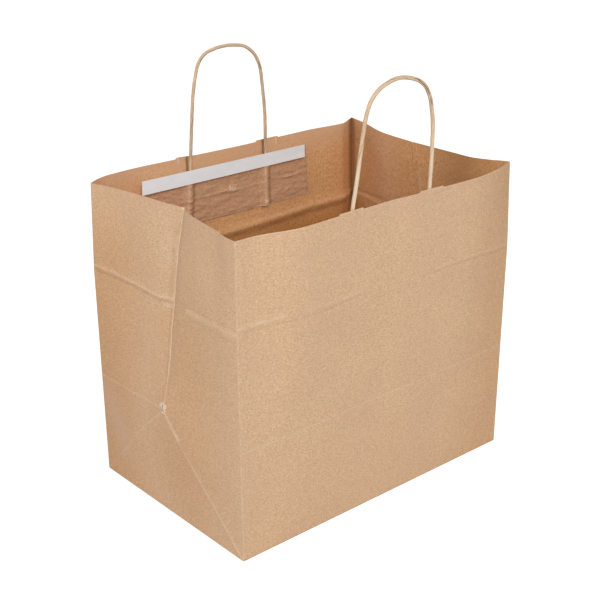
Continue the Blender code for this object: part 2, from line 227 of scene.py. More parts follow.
# How far each corner's rim stands from above its base corner
CORNER_LEAN = {
    Corner.FRONT_LEFT: Vector((0.0008, 0.0004)),
    Corner.FRONT_RIGHT: Vector((0.0026, 0.0002)),
    Corner.BACK_RIGHT: Vector((0.0032, 0.0059)),
    Corner.BACK_LEFT: Vector((-0.0002, -0.0040)),
}
# How far the base corner nearest the camera is splayed, and up to which height
SPLAYED_CORNER = Corner.FRONT_LEFT
SPLAY = Vector((-0.0026, -0.0032))
SPLAY_TOP = 0.200
# How much higher each corner's packing fold and bottom fold lie than a level line
PACKING_DRIFT = {
    Corner.FRONT_LEFT: 0.0055,
    Corner.FRONT_RIGHT: -0.0015,
    Corner.BACK_RIGHT: 0.0035,
    Corner.BACK_LEFT: -0.003,
}
BOTTOM_DRIFT = {
    Corner.FRONT_LEFT: -0.003,
    Corner.FRONT_RIGHT: 0.0,
    Corner.BACK_RIGHT: 0.0,
    Corner.BACK_LEFT: -0.0045,
}
# Bow of each rim from the straight line between its corners, outward; a gusset has two halves
RIM_BOWS: dict[Wall, tuple[Knots, ...]] = {
    Wall.FRONT: ((
        (0.00, 0.0), (0.05, 0.0003), (0.10, 0.0033), (0.14, 0.0072), (0.18, 0.0099),
        (0.22, 0.0106), (0.29, 0.0098), (0.40, 0.0091), (0.50, 0.0085), (0.57, 0.0105),
        (0.69, 0.0125), (0.81, 0.0138), (0.87, 0.0117), (0.93, 0.0075), (1.00, 0.0),
    ),),
    Wall.BACK: ((
        (0.000, 0.0), (0.034, -0.0055), (0.070, -0.0104), (0.114, -0.0090), (0.197, -0.0046),
        (0.320, -0.0028), (0.468, -0.0006), (0.587, 0.0027), (0.709, 0.0060), (0.814, 0.0090),
        (0.869, 0.0096), (0.925, 0.0088), (0.958, 0.0063), (1.000, 0.0),
    ),),
    Wall.RIGHT: (
        ((0.00, 0.0), (0.045, -0.002), (0.15, -0.0089), (0.34, -0.0163), (0.55, -0.0172),
         (1.0, -0.0192)),
        ((0.00, -0.0192), (0.10, -0.0190), (0.37, -0.0174), (0.79, -0.0043), (1.00, 0.0)),
    ),
    Wall.LEFT: (
        ((0.00, 0.0), (0.09, -0.0028), (0.22, -0.0065), (0.50, -0.0120), (0.80, -0.0160),
         (1.0, -0.0205)),
        ((0.00, -0.0205), (0.10, -0.0155), (0.28, -0.0112), (0.68, -0.0050),
         (0.88, -0.0007), (1.0, 0.0)),
    ),
}
# How a gusset's inward fold grows from the bottom fold (0) to the rim (1)
GUSSET_FOLD_RISE: Knots = (
    (0.0, 0.0), (0.22, 0.38), (0.41, 0.57), (0.57, 0.76), (0.85, 0.93), (1.0, 1.0),
)


def gusset_marks(middle: float, half: float, node: float, rim: float) -> list[PaperMark]:
    """Creases that a gusset has from folding flat: its middle crease and the two below it, with
    painted shade beside the middle crease.

    Args:
        middle: the middle crease's place along the girth.
        half: half the gusset's width.
        node: height of the point where the creases meet.
        rim: height of the rim.

    Returns:
        The creases.
    """
    point = (middle, node)
    bend = (middle + 0.19 * half, 0.80 * node)
    return [
        PaperMark(point, (middle, rim), rise=-0.0002, light=0.80, line=0.0013, face=Face.OUTSIDE),
        # Dark bands just beside the middle crease: painted shade
        PaperMark((middle - 0.0024, node), (middle - 0.0026, 0.70 * rim), dark=0.22, line=0.0022),
        PaperMark((middle - 0.0045, 0.70 * rim), (middle - 0.0046, 0.93 * rim), dark=0.24, line=0.0042),
        PaperMark(point, (middle - 0.45 * half, 0.60 * node), rise=0.0005, light=0.36, line=0.0009),
        PaperMark((middle - 0.45 * half, 0.60 * node), (middle - half, 0.0), rise=0.0005, light=0.16,
             line=0.0014),
        PaperMark(point, bend, rise=0.0006, light=0.62, line=0.0036),
        PaperMark(bend, (middle + half, 0.0), rise=0.0006, light=0.46, line=0.0019),
        PaperMark((middle - half, node), point, rise=-0.0003, light=0.42, line=0.0009),
        PaperMark(point, (middle + half, node), light=0.05, line=0.0012),
    ]


def front_marks() -> list[PaperMark]:
    """Pressed lines and painted marks of the front panel: both ends of its packing fold with
    painted highlights and shadows, its bottom fold, painted shade towards the right corner, a
    painted contact shadow along the foot, and the pale rim.
    """
    return [
        # Packing fold: the light bands are partly crease wear, partly painted highlight on the
        # upper face; the dark lines beneath are painted shadow
        PaperMark((0.001, 0.2095), (0.046, 0.2112), rise=0.0007, reach=0.0050, light=0.27, line=0.0031),
        PaperMark((0.006, 0.2056), (0.100, 0.2062), rise=-0.0004, reach=0.0035, dark=0.15, line=0.0015),
        PaperMark((0.100, 0.2062), (0.128, 0.2100), rise=-0.0004, reach=0.0035, dark=0.15, line=0.0015),
        PaperMark((0.070, 0.2103), (0.127, 0.2125), rise=0.0004, reach=0.0045, light=0.17, line=0.0029),
        PaperMark((0.0441, 0.2175), (0.0443, 0.2240), light=0.22, line=0.0008),
        PaperMark((0.203, 0.2095), (0.250, 0.2118), rise=-0.0004, reach=0.0040, dark=0.15, line=0.0017),
        PaperMark((0.250, 0.2118), (0.320, 0.2078), rise=-0.0005, reach=0.0040, dark=0.18, line=0.0017),
        PaperMark((0.222, 0.2132), (0.262, 0.2150), rise=0.0004, reach=0.0045, light=0.14, line=0.0028),
        PaperMark((0.262, 0.2150), (0.319, 0.2112), rise=0.0004, reach=0.0045, light=0.16, line=0.0028),
        PaperMark((0.0, 0.106), (0.320, 0.106), rise=-0.0003, light=0.32, line=0.0010),
        # Painted shade: darker, more saturated paper towards the right corner, which turns away
        # from the light
        PaperMark((0.324, 0.0), (0.324, 0.290), painted_shade=0.60, line=0.0900, face=Face.OUTSIDE),
        # Painted contact shadow along the foot of the panel
        PaperMark((0.0, 0.0), (0.320, 0.0), dark=0.45, line=0.0015, broken=0.3, face=Face.OUTSIDE),
        PaperMark((0.0, 0.2896), (0.320, 0.2896), light=0.34, line=0.0009, face=Face.OUTSIDE),
    ]


def back_marks(rim: float) -> list[PaperMark]:
    """Pressed lines and painted marks of the back panel: its fold pushed in with a painted
    highlight and shadow, painted shade and light inside, painted shadows under the patch, beside
    the rope's legs and in the corner, the tabs' pale ends and the lap's edge.
    """
    return [
        PaperMark((0.530, 0.2080), (0.850, 0.2080), rise=-0.0024, reach=0.0110),
        # Inside: painted highlight along the fold's lit edge, painted shadow below it
        PaperMark((0.530, 0.2105), (0.850, 0.2120), light=0.30, line=0.0024, face=Face.INSIDE),
        PaperMark((0.530, 0.2030), (0.850, 0.2035), dark=0.50, line=0.0044, face=Face.INSIDE),
        # Inside: painted shade, darker and more saturated paper deeper in the bag
        PaperMark((0.530, 0.0850), (0.850, 0.0850), painted_shade=0.95, line=0.1000, face=Face.INSIDE),
        PaperMark((0.530, 0.1760), (0.850, 0.1760), painted_shade=0.95, line=0.0450, face=Face.INSIDE),
        # Inside: painted shadow under the cover patch's lower edge
        PaperMark((0.5960, 0.2252), (0.7880, 0.2252), dark=0.60, line=0.0014, face=Face.INSIDE),
        # Inside: painted light, paler paper near the rim
        PaperMark((0.530, rim), (0.850, rim), grey=0.65, line=0.0320, face=Face.INSIDE),
        # Inside: painted shadows beside the rope's two legs
        PaperMark((0.7412, 0.2775), (0.7406, 0.2905), dark=1.0, line=0.0022, broken=0.0,
             face=Face.INSIDE),
        PaperMark((0.6526, 0.2775), (0.6526, 0.2905), dark=1.0, line=0.0030, broken=0.0,
             face=Face.INSIDE),
        PaperMark((0.7500, 0.2865), (0.7499, rim), light=1.0, line=0.0019, broken=0.0,
             face=Face.INSIDE),
        PaperMark((0.6362, 0.2840), (0.6361, rim), light=1.0, line=0.0018, broken=0.0,
             face=Face.INSIDE),
        # Inside: painted shade in the back right corner
        PaperMark((0.5345, 0.1850), (0.5330, rim), dark=0.90, line=0.0090, broken=0.1,
             face=Face.INSIDE),
        PaperMark((0.530, 0.106), (0.850, 0.106), rise=-0.0003, light=0.24, line=0.0010),
        PaperMark((0.5505, 0.0), (0.5505, rim), dark=0.16, line=0.0007),
    ]


def right_marks() -> list[PaperMark]:
    """Pressed lines and painted marks of the right gusset: its packing fold with a painted
    highlight and shadow, and inside painted highlights, painted shade and light, and painted shade
    in the back corner.
    """
    return [
        # Outside packing fold: the light band is partly crease wear, partly painted highlight; the
        # dark line below is painted shadow
        PaperMark((0.320, 0.2120), (0.425, 0.2110), rise=0.0007, reach=0.0050, light=0.26, line=0.0028,
             face=Face.OUTSIDE),
        PaperMark((0.320, 0.2065), (0.530, 0.2070), rise=-0.0005, reach=0.0035, dark=0.16, line=0.0015,
             face=Face.OUTSIDE),
        # Inside: painted highlights on the lit band at the fold and on a lit facet by the middle
        # crease
        PaperMark((0.460, 0.2148), (0.525, 0.2085), rise=0.0008, reach=0.0060, light=0.40, line=0.0036,
             face=Face.INSIDE),
        PaperMark((0.4185, 0.2600), (0.4165, 0.2400), light=0.34, line=0.0036, face=Face.INSIDE),
        PaperMark((0.4250, 0.2882), (0.4250, 0.2900), light=0.85, line=0.0015, face=Face.INSIDE),
        PaperMark((0.4250, 0.2500), (0.4250, 0.2870), dark=0.34, line=0.0013, face=Face.INSIDE),
        # Inside: painted shade on the front half, painted light on the back half
        PaperMark((0.3600, 0.1500), (0.3600, 0.3000), dark=0.55, line=0.0650, face=Face.INSIDE),
        PaperMark((0.4750, 0.1500), (0.4750, 0.3000), light=0.25, line=0.0550, face=Face.INSIDE),
        # Inside: painted shade in the back right corner
        PaperMark((0.5265, 0.1950), (0.5275, 0.2900), dark=0.60, line=0.0060, broken=0.1,
             face=Face.INSIDE),
    ]


def left_marks() -> list[PaperMark]:
    """Pressed lines and painted marks of the left gusset: a strong one with painted highlights and
    shadows, a wide pale one, chance lines, a painted contact shadow along the foot and painted
    shade below the packing fold.
    """
    return [
        # Packing fold: the light bands are partly crease wear, partly painted highlight; the dark
        # lines are painted shadow
        PaperMark((0.851, 0.2150), (0.900, 0.2092), rise=0.0010, reach=0.0055, light=0.36, line=0.0025),
        PaperMark((0.900, 0.2092), (0.938, 0.2045), rise=0.0010, reach=0.0055, light=0.34, line=0.0025),
        PaperMark((0.936, 0.2048), (0.954, 0.2062), rise=0.0006, reach=0.0050, light=0.42, line=0.0026),
        PaperMark((0.851, 0.2102), (0.900, 0.2050), rise=-0.0006, reach=0.0045, dark=0.24, line=0.0023),
        PaperMark((0.900, 0.2050), (0.938, 0.2008), rise=-0.0006, reach=0.0045, dark=0.22, line=0.0021),
        PaperMark((0.937, 0.2016), (0.954, 0.2026), rise=-0.0004, reach=0.0035, dark=0.42, line=0.0018),
        PaperMark((0.943, 0.1985), (0.954, 0.1988), light=0.40, line=0.0012),
        PaperMark((0.982, 0.2035), (1.057, 0.2048), rise=0.0005, reach=0.0060, light=0.27, line=0.0046),
        PaperMark((0.981, 0.2070), (1.056, 0.2102), dark=0.15, line=0.0012),
        PaperMark((0.986, 0.1978), (1.056, 0.1988), dark=0.15, line=0.0012),
        PaperMark((1.049, 0.2125), (1.0545, 0.2155), light=0.62, line=0.0008),
        PaperMark((0.9026, 0.0860), (0.9091, 0.0500), light=0.24, line=0.0010),
        PaperMark((0.862, 0.0840), (0.884, 0.0420), grey=0.42, line=0.0300),
        # Painted contact shadow along the foot of the gusset
        PaperMark((0.850, 0.0), (1.060, 0.0), dark=0.40, line=0.0015, broken=0.3, face=Face.OUTSIDE),
        PaperMark((0.9458, 0.0460), (0.9524, 0.0020), light=0.32, line=0.0009),
        PaperMark((0.9340, 0.2515), (0.9400, 0.2492), light=0.34, line=0.0007),
        PaperMark((0.9400, 0.2492), (0.9475, 0.2500), light=0.34, line=0.0007),
        PaperMark((0.9380, 0.2340), (0.9430, 0.2290), light=0.26, line=0.0007),
        PaperMark((0.9410, 0.2640), (0.9450, 0.2590), light=0.22, line=0.0007),
        PaperMark((0.9538, 0.2885), (0.9552, 0.2900), light=0.90, line=0.0018),
        # Painted shade: darker, more saturated paper below the packing fold
        PaperMark((0.850, 0.020), (0.850, 0.205), painted_shade=0.95, line=0.1100, face=Face.OUTSIDE),
        PaperMark((0.980, 0.060), (0.980, 0.170), painted_shade=0.60, line=0.0900, face=Face.OUTSIDE),
    ]


def sheet_marks() -> list[PaperMark]:
    """Every pressed line and painted mark of the sheet that shows, in girth and height along the
    paper.
    """
    rim = 0.290
    node = 0.106
    folds = front_marks() + back_marks(rim) + right_marks() + left_marks()
    for middle in (0.425, 0.955):
        folds += gusset_marks(middle, 0.105, node, rim)
    for corner in (0.0, GIRTH):
        folds.append(PaperMark((corner, 0.0), (corner, rim), light=0.36, line=0.0012))
        folds.append(PaperMark((corner, 0.2865), (corner, rim), light=0.80, line=0.0016))
    for corner in (0.320, 0.530, 0.850):
        folds.append(PaperMark((corner, 0.0), (corner, rim), dark=0.14, line=0.0013))
    return folds


@dataclass(frozen=True)
class Crumple:
    """A small place of the sheet where the paper is crushed."""

    middle: tuple[float, float]
    reach: float
    height: float
    grain: float
    pale: float = 0.0

    def relief(self, s: float, z: float) -> float:
        """How far the crushed place lifts the sheet's point (s, z)."""
        near = 1.0 - math.hypot(s - self.middle[0], z - self.middle[1]) / self.reach
        if near <= 0.0:
            return 0.0
        star = wander(s, z, self.grain, 7.3) + 0.5 * wander(s, z, 0.55 * self.grain, 2.9)
        return self.height * ease(near) * star


# Crushed spots of the sheet: the gussets' nodes and chance places of the left gusset
CRUMPLES = (
    Crumple((0.4250, 0.1060), 0.0085, 0.0014, 0.0030, 0.95),
    Crumple((0.9535, 0.1070), 0.0085, 0.0016, 0.0030, 0.95),
    Crumple((0.9430, 0.2480), 0.0190, 0.0005, 0.0060, 0.09),
    Crumple((0.9450, 0.2010), 0.0110, 0.0005, 0.0050, 0.14),
    Crumple((0.9440, 0.1600), 0.0160, 0.0003, 0.0080, 0.05),
)
# Wrinkles and crushed spots of a cover patch, from its lower left corner, with painted highlights
# and shadows on the flanks of its pleat and of the ridges over the rope
PATCH_MARKS = (
    PaperMark((0.000, 0.0000), (0.192, 0.0000), light=1.0, line=0.0016),
    # Painted highlight above the pleat, painted shadow below it
    PaperMark((0.052, 0.0245), (0.100, 0.0228), light=0.32, line=0.0013),
    PaperMark((0.100, 0.0228), (0.137, 0.0236), light=0.32, line=0.0013),
    PaperMark((0.052, 0.0225), (0.100, 0.0205), dark=0.40, line=0.0014),
    PaperMark((0.100, 0.0205), (0.137, 0.0212), dark=0.40, line=0.0014),
    # Painted highlights and shadows on the flanks of the ridges over the rope's legs
    PaperMark((0.1345, 0.003), (0.1375, 0.049), light=0.50, line=0.0020),
    PaperMark((0.1400, 0.000), (0.1432, 0.049), dark=0.45, line=0.0026, broken=0.2),
    PaperMark((0.0405, 0.000), (0.0482, 0.049), light=0.45, line=0.0024),
    PaperMark((0.0470, 0.000), (0.0545, 0.049), dark=0.40, line=0.0034, broken=0.2),
    PaperMark((0.1352, 0.0020), (0.1362, 0.0020), dark=1.0, line=0.0013, broken=0.0),
    PaperMark((0.1050, 0.0330), (0.1240, 0.0345), dark=0.40, line=0.0014),
    PaperMark((0.1120, 0.0390), (0.1300, 0.0375), dark=0.35, line=0.0012),
    PaperMark((0.1450, 0.0250), (0.1700, 0.0270), dark=0.35, line=0.0016),
    PaperMark((0.0900, 0.0165), (0.1100, 0.0150), dark=0.35, line=0.0012),
    PaperMark((0.0600, 0.0330), (0.0880, 0.0300), light=0.25, line=0.0016),
)
PATCH_CRUMPLES = (
    Crumple((0.0977, 0.0250), 0.0066, 0.0007, 0.0034, 0.45),
    Crumple((0.1358, 0.0030), 0.0040, 0.0010, 0.0024, 0.90),
)


@dataclass(frozen=True)
class SheetShape:
    """The folded sheet: the opened bag's sizes, and how its walls bow, lean, dent and crumple."""

    width: float = 0.320
    depth: float = 0.210
    height: float = 0.290
    thickness: float = 0.0002
    glue_gap: float = 0.0003
    foot: float = 0.0004
    bottom_fold: float = 0.106
    packing_fold: float = 0.210
    corner_push: float = 0.0015
    back_dent: float = 0.007
    back_dent_spread: float = 0.4
    node_push: float = 0.004
    bulge_power: float = 1.6
    left_crease_shift: float = 0.004
    left_crease_turn: float = 0.005
    left_crease_turn_foot: float = 0.235
    seam_start: float = 0.0006
    seam_lap: float = 0.020
    step_run: float = 0.0008
    swell: float = 0.0007
    ripple: float = 0.00016
    quiet_margin: float = 0.022
    back_corner_margin: float = 0.014
    folds: list[PaperMark] = field(default_factory=sheet_marks)

    def tent(self, z: float, foot: float) -> float:
        """1 on the packing fold, falling in a straight line to 0 at foot and at the rim."""
        if z <= foot or z >= self.height:
            return 0.0
        if z <= self.packing_fold:
            return (z - foot) / (self.packing_fold - foot)
        return (self.height - z) / (self.height - self.packing_fold)

    def drift(self, wall: Wall, u: float, z: float) -> float:
        """How much higher the paper of height z lies, because both folds run askew.

        Args:
            wall: the wall.
            u: share along it.
            z: height up the paper.

        Returns:
            The rise in metres.
        """
        first, last = wall.value
        upper = PACKING_DRIFT[first] * (1.0 - u) + PACKING_DRIFT[last] * u
        lower = BOTTOM_DRIFT[first] * (1.0 - u) + BOTTOM_DRIFT[last] * u
        if wall.gusset:
            lower *= abs(2.0 * u - 1.0)
        up = z / self.bottom_fold
        down = (self.packing_fold - z) / (self.packing_fold - self.bottom_fold)
        return upper * self.tent(z, self.bottom_fold) + lower * max(0.0, min(up, down))

    def corner(self, corner: Corner, z: float) -> Vector:
        """Plan position of a corner fold at height z."""
        across, along = corner.value
        push = self.corner_push * self.tent(z, 0.0)
        place = Vector((across * (self.width / 2 + push), along * (self.depth / 2 + push)))
        if corner is SPLAYED_CORNER:
            place += SPLAY * ease(1.0 - z / SPLAY_TOP)
        return place + CORNER_LEAN[corner] * min(z / self.height, 1.0)

    def panel_bow(self, wall: Wall, u: float, z: float) -> float:
        """How far a wide panel stands out from the straight line between its corners."""
        rise = min(z / self.height, 1.0) ** self.bulge_power
        bow = smooth_through(RIM_BOWS[wall][0], u) * rise
        if wall is not Wall.BACK:
            return bow
        spread = math.sin(math.pi * u) ** self.back_dent_spread
        seam_up = (u * self.width - self.seam_start) / self.step_run
        seam_down = (self.seam_lap + self.step_run - u * self.width) / self.step_run
        seam = self.thickness * max(0.0, min(seam_up, seam_down, 1.0))
        return bow + seam - self.back_dent * spread * self.tent(z, self.bottom_fold)

    def gusset_bow(self, wall: Wall, u: float, z: float) -> float:
        """How far a gusset stands out: folded in above the bottom fold, out at its node."""
        first, second = RIM_BOWS[wall]
        bow = smooth_through(first, 2.0 * u) if u <= 0.5 else smooth_through(second, 2.0 * u - 1.0)
        from_corner = 1.0 - abs(2.0 * u - 1.0)
        node = min(from_corner, z / self.bottom_fold, 1.0)
        span = self.height - self.bottom_fold
        climb = max(0.0, (min(z, self.height) - self.bottom_fold) / span)
        return (
            bow * smooth_through(GUSSET_FOLD_RISE, climb)
            + self.node_push * node * (1.0 - climb)
        )

    def crumple(self, wall: Wall, u: float, z: float) -> float:
        """Small relief at a place of the paper: pressed folds, the crumpled nodes and swells.

        Args:
            wall: the wall.
            u: share along it; near its ends the relief fades, so corner folds stay straight.
            z: height up the paper.

        Returns:
            How far the paper is lifted out.
        """
        wall_length = self.depth if wall.gusset else self.width
        s = GIRTH_START[wall] + u * wall_length
        lift = sum(fold.relief(s, z) for fold in self.folds)
        lift += sum(crumple.relief(s, z) for crumple in CRUMPLES)
        margin = min(u, 1.0 - u) * wall_length
        if wall is Wall.BACK:
            lift *= ease(margin / self.back_corner_margin)
        calm = ease(margin / self.quiet_margin)
        calm *= ease(z / self.quiet_margin) * ease((self.height - z) / self.quiet_margin)
        waves = self.swell * wander(s, z, 0.065, 1.7) + self.ripple * wander(s, z, 0.019, 5.1)
        return lift + calm * waves

    def point(self, wall: Wall, u: float, z: float) -> Vector:
        """Point of the bag's outer face: share u along a wall, height z up the paper."""
        first, last = wall.value
        start, end = self.corner(first, z), self.corner(last, z)
        along = (end - start).normalized()
        shift = 0.0
        if wall.gusset:
            bow = self.gusset_bow(wall, u, z)
            if wall is Wall.LEFT:
                climb = max(0.0, (z - self.bottom_fold) / (self.height - self.bottom_fold))
                from_corner = 1.0 - abs(2.0 * u - 1.0)
                turn_span = self.height - self.left_crease_turn_foot
                turn = max(0.0, (z - self.left_crease_turn_foot) / turn_span)
                shift = self.left_crease_shift * min(climb, 1.0)
                shift = from_corner * (shift + self.left_crease_turn * turn * turn)
        else:
            bow = self.panel_bow(wall, u, z)
        if 0.0 < u < 1.0:
            bow += self.crumple(wall, u, z)
        plan = start.lerp(end, u) + wall.outward * bow + along * shift
        return Vector((plan.x, plan.y, z + self.drift(wall, u, z)))

    def share_at_x(self, wall: Wall, x: float, z: float) -> float:
        """Share along a wide panel at which it has the given x."""
        first, last = wall.value
        start, end = self.corner(first, z).x, self.corner(last, z).x
        return (x - start) / (end - start)

    def inner_point(self, wall: Wall, x: float, z: float, offset: float) -> Vector:
        """Point on a wide panel's inner side, offset in from its inner face."""
        paper_z = z
        for _ in range(3):
            paper_z = z - self.drift(wall, self.share_at_x(wall, x, paper_z), paper_z)
        outer = self.point(wall, self.share_at_x(wall, x, paper_z), paper_z)
        return Vector((x, outer.y - wall.outward.y * (self.thickness + offset), z))


def linked(name: str, data: bpy.types.ID) -> bpy.types.Object:
    """A new object with the data, linked into the scene."""
    piece = bpy.data.objects.new(name, data)
    bpy.context.scene.collection.objects.link(piece)
    return piece


def applied(piece: bpy.types.Object) -> bpy.types.Object:
    """Turn a piece's modifiers into its own plain mesh.

    Args:
        piece: an object whose modifiers are finished.

    Returns:
        The same object, with a plain mesh and no modifier.
    """
    bpy.context.view_layer.update()
    graph = bpy.context.evaluated_depsgraph_get()
    result = bpy.data.meshes.new_from_object(piece.evaluated_get(graph))
    before = piece.data
    piece.modifiers.clear()
    piece.data = result
    bpy.data.meshes.remove(before)
    result.name = piece.name
    return piece


def mesh_of(bm: bmesh.types.BMesh, name: str) -> bpy.types.Mesh:
    """A mesh with the given name from a finished bmesh, which is freed."""
    mesh = bpy.data.meshes.new(name)
    bm.to_mesh(mesh)
    bm.free()
    return mesh


def thicken(sheet: bpy.types.Object, thickness: float, **settings: object) -> None:
    """Give an open sheet its thickness, inwards from its outer face.

    Args:
        sheet: the sheet, which becomes a plain closed mesh.
        thickness: its thickness in metres.
        settings: further settings of the Solidify modifier.
    """
    shell = sheet.modifiers.new("thickness", "SOLIDIFY")
    shell.thickness = thickness
    shell.offset = -1.0
    for name, value in settings.items():
        setattr(shell, name, value)
    applied(sheet)


def cells(rows: list[list[bmesh.types.BMVert]]) -> Iterator[tuple[bmesh.types.BMVert, ...]]:
    """The four corners of each cell between rows of points, round from its first."""
    for below, above in zip(rows, rows[1:]):
        yield from zip(below, below[1:], above[1:], above)


def toned(colour: Colour, share: float) -> Colour:
    """A colour made darker or lighter by a share, and held to white."""
    return tuple(min(1.0, share * c) for c in colour)


def shade_by_angle(mesh: bpy.types.Mesh, degrees: float) -> None:
    """Shade a mesh smooth, apart from the edges that turn by more than the angle.

    Args:
        mesh: the mesh.
        degrees: the sharpest turn that is still smooth.
    """
    limit = math.radians(degrees)
    bm = bmesh.new()
    bm.from_mesh(mesh)
    for face in bm.faces:
        face.smooth = True
    for edge in bm.edges:
        edge.smooth = len(edge.link_faces) == 2 and edge.calc_face_angle(0.0) < limit
    bm.to_mesh(mesh)
    bm.free()


def outward(mesh: bpy.types.Mesh) -> None:
    """Turn a closed mesh's faces outwards."""
    bm = bmesh.new()
    bm.from_mesh(mesh)
    bmesh.ops.recalc_face_normals(bm, faces=bm.faces)
    bm.to_mesh(mesh)
    bm.free()


class Graph:
    """Adds and links nodes in one node tree."""

    def __init__(self, tree: bpy.types.NodeTree) -> None:
        """Start on a tree."""
        self.tree = tree

    def add(self, kind: str, inputs: dict | None = None, **settings: object) -> bpy.types.Node:
        """Add a node.

        Args:
            kind: the node's type name.
            inputs: value or source socket for each input, by name or number.
            settings: the node's own properties.

        Returns:
            The node.
        """
        node = self.tree.nodes.new(kind)
        for name, value in settings.items():
            setattr(node, name, value)
        for name, value in (inputs or {}).items():
            self.put(node.inputs[name], value)
        return node

    def put(self, socket: bpy.types.NodeSocket, value: object) -> None:
        """Link a source socket to an input, or set the input's own value."""
        if isinstance(value, bpy.types.NodeSocket):
            self.tree.links.new(value, socket)
        else:
            socket.default_value = value

    def maths(self, operation: str, *values: object) -> bpy.types.NodeSocket:
        """Result of a Math node on the values."""
        node = self.add("ShaderNodeMath", operation=operation)
        for socket, value in zip(node.inputs, values):
            self.put(socket, value)
        return node.outputs[0]

    def vector(self, operation: str, *values: object, out: str = "Vector") -> bpy.types.NodeSocket:
        """Result of a Vector Math node on the values."""
        node = self.add("ShaderNodeVectorMath", operation=operation)
        for socket, value in zip(node.inputs, values):
            self.put(socket, value)
        return node.outputs[out]

    def scaled(self, source: bpy.types.NodeSocket, scale: Sequence[float],
               turn: float = 0.0) -> bpy.types.NodeSocket:
        """A vector turned about Z and then scaled along each axis."""
        if turn:
            source = self.add(
                "ShaderNodeVectorRotate", {"Vector": source, "Angle": math.radians(turn)},
                rotation_type="Z_AXIS",
            ).outputs[0]
        return self.vector("MULTIPLY", source, tuple(scale))

    def noise(self, source: object, scale: object, detail: float = 2.0,
              roughness: float = 0.5) -> bpy.types.NodeSocket:
        """Grey value of a noise texture."""
        return self.add(
            "ShaderNodeTexNoise",
            {"Vector": source, "Scale": scale, "Detail": detail, "Roughness": roughness},
        ).outputs[0]

    def spread(self, source: object, low: object, high: object, to_low: object = 0.0,
               to_high: object = 1.0, smooth: bool = False) -> bpy.types.NodeSocket:
        """A value stretched from one range to another, and held to it."""
        return self.add(
            "ShaderNodeMapRange",
            {"Value": source, "From Min": low, "From Max": high, "To Min": to_low,
             "To Max": to_high},
            interpolation_type="SMOOTHSTEP" if smooth else "LINEAR",
        ).outputs[0]

    def blend(self, factor: object, first: object, second: object) -> bpy.types.NodeSocket:
        """Mix of two colours."""
        node = self.add("ShaderNodeMix", data_type="RGBA")
        for socket, value in ((0, factor), (6, first), (7, second)):
            if isinstance(value, tuple):
                value = (*value, 1.0)
            self.put(node.inputs[socket], value)
        return node.outputs[2]


def new_group(name: str, inputs: dict[str, object], outputs: Iterable[str]) -> Graph:
    """A shader node group with named sockets.

    Args:
        name: the group's name.
        inputs: default of each input: a number, or a tuple for a vector.
        outputs: names of the outputs, all of them numbers.

    Returns:
        The group's graph, with its input and output nodes in it.
    """
    tree = bpy.data.node_groups.new(name, "ShaderNodeTree")
    for title, default in inputs.items():
        kind = "NodeSocketVector" if isinstance(default, tuple) else "NodeSocketFloat"
        socket = tree.interface.new_socket(name=title, in_out="INPUT", socket_type=kind)
        socket.default_value = default
    for title in outputs:
        tree.interface.new_socket(name=title, in_out="OUTPUT", socket_type="NodeSocketFloat")
    tree.nodes.new("NodeGroupInput")
    tree.nodes.new("NodeGroupOutput")
    return Graph(tree)


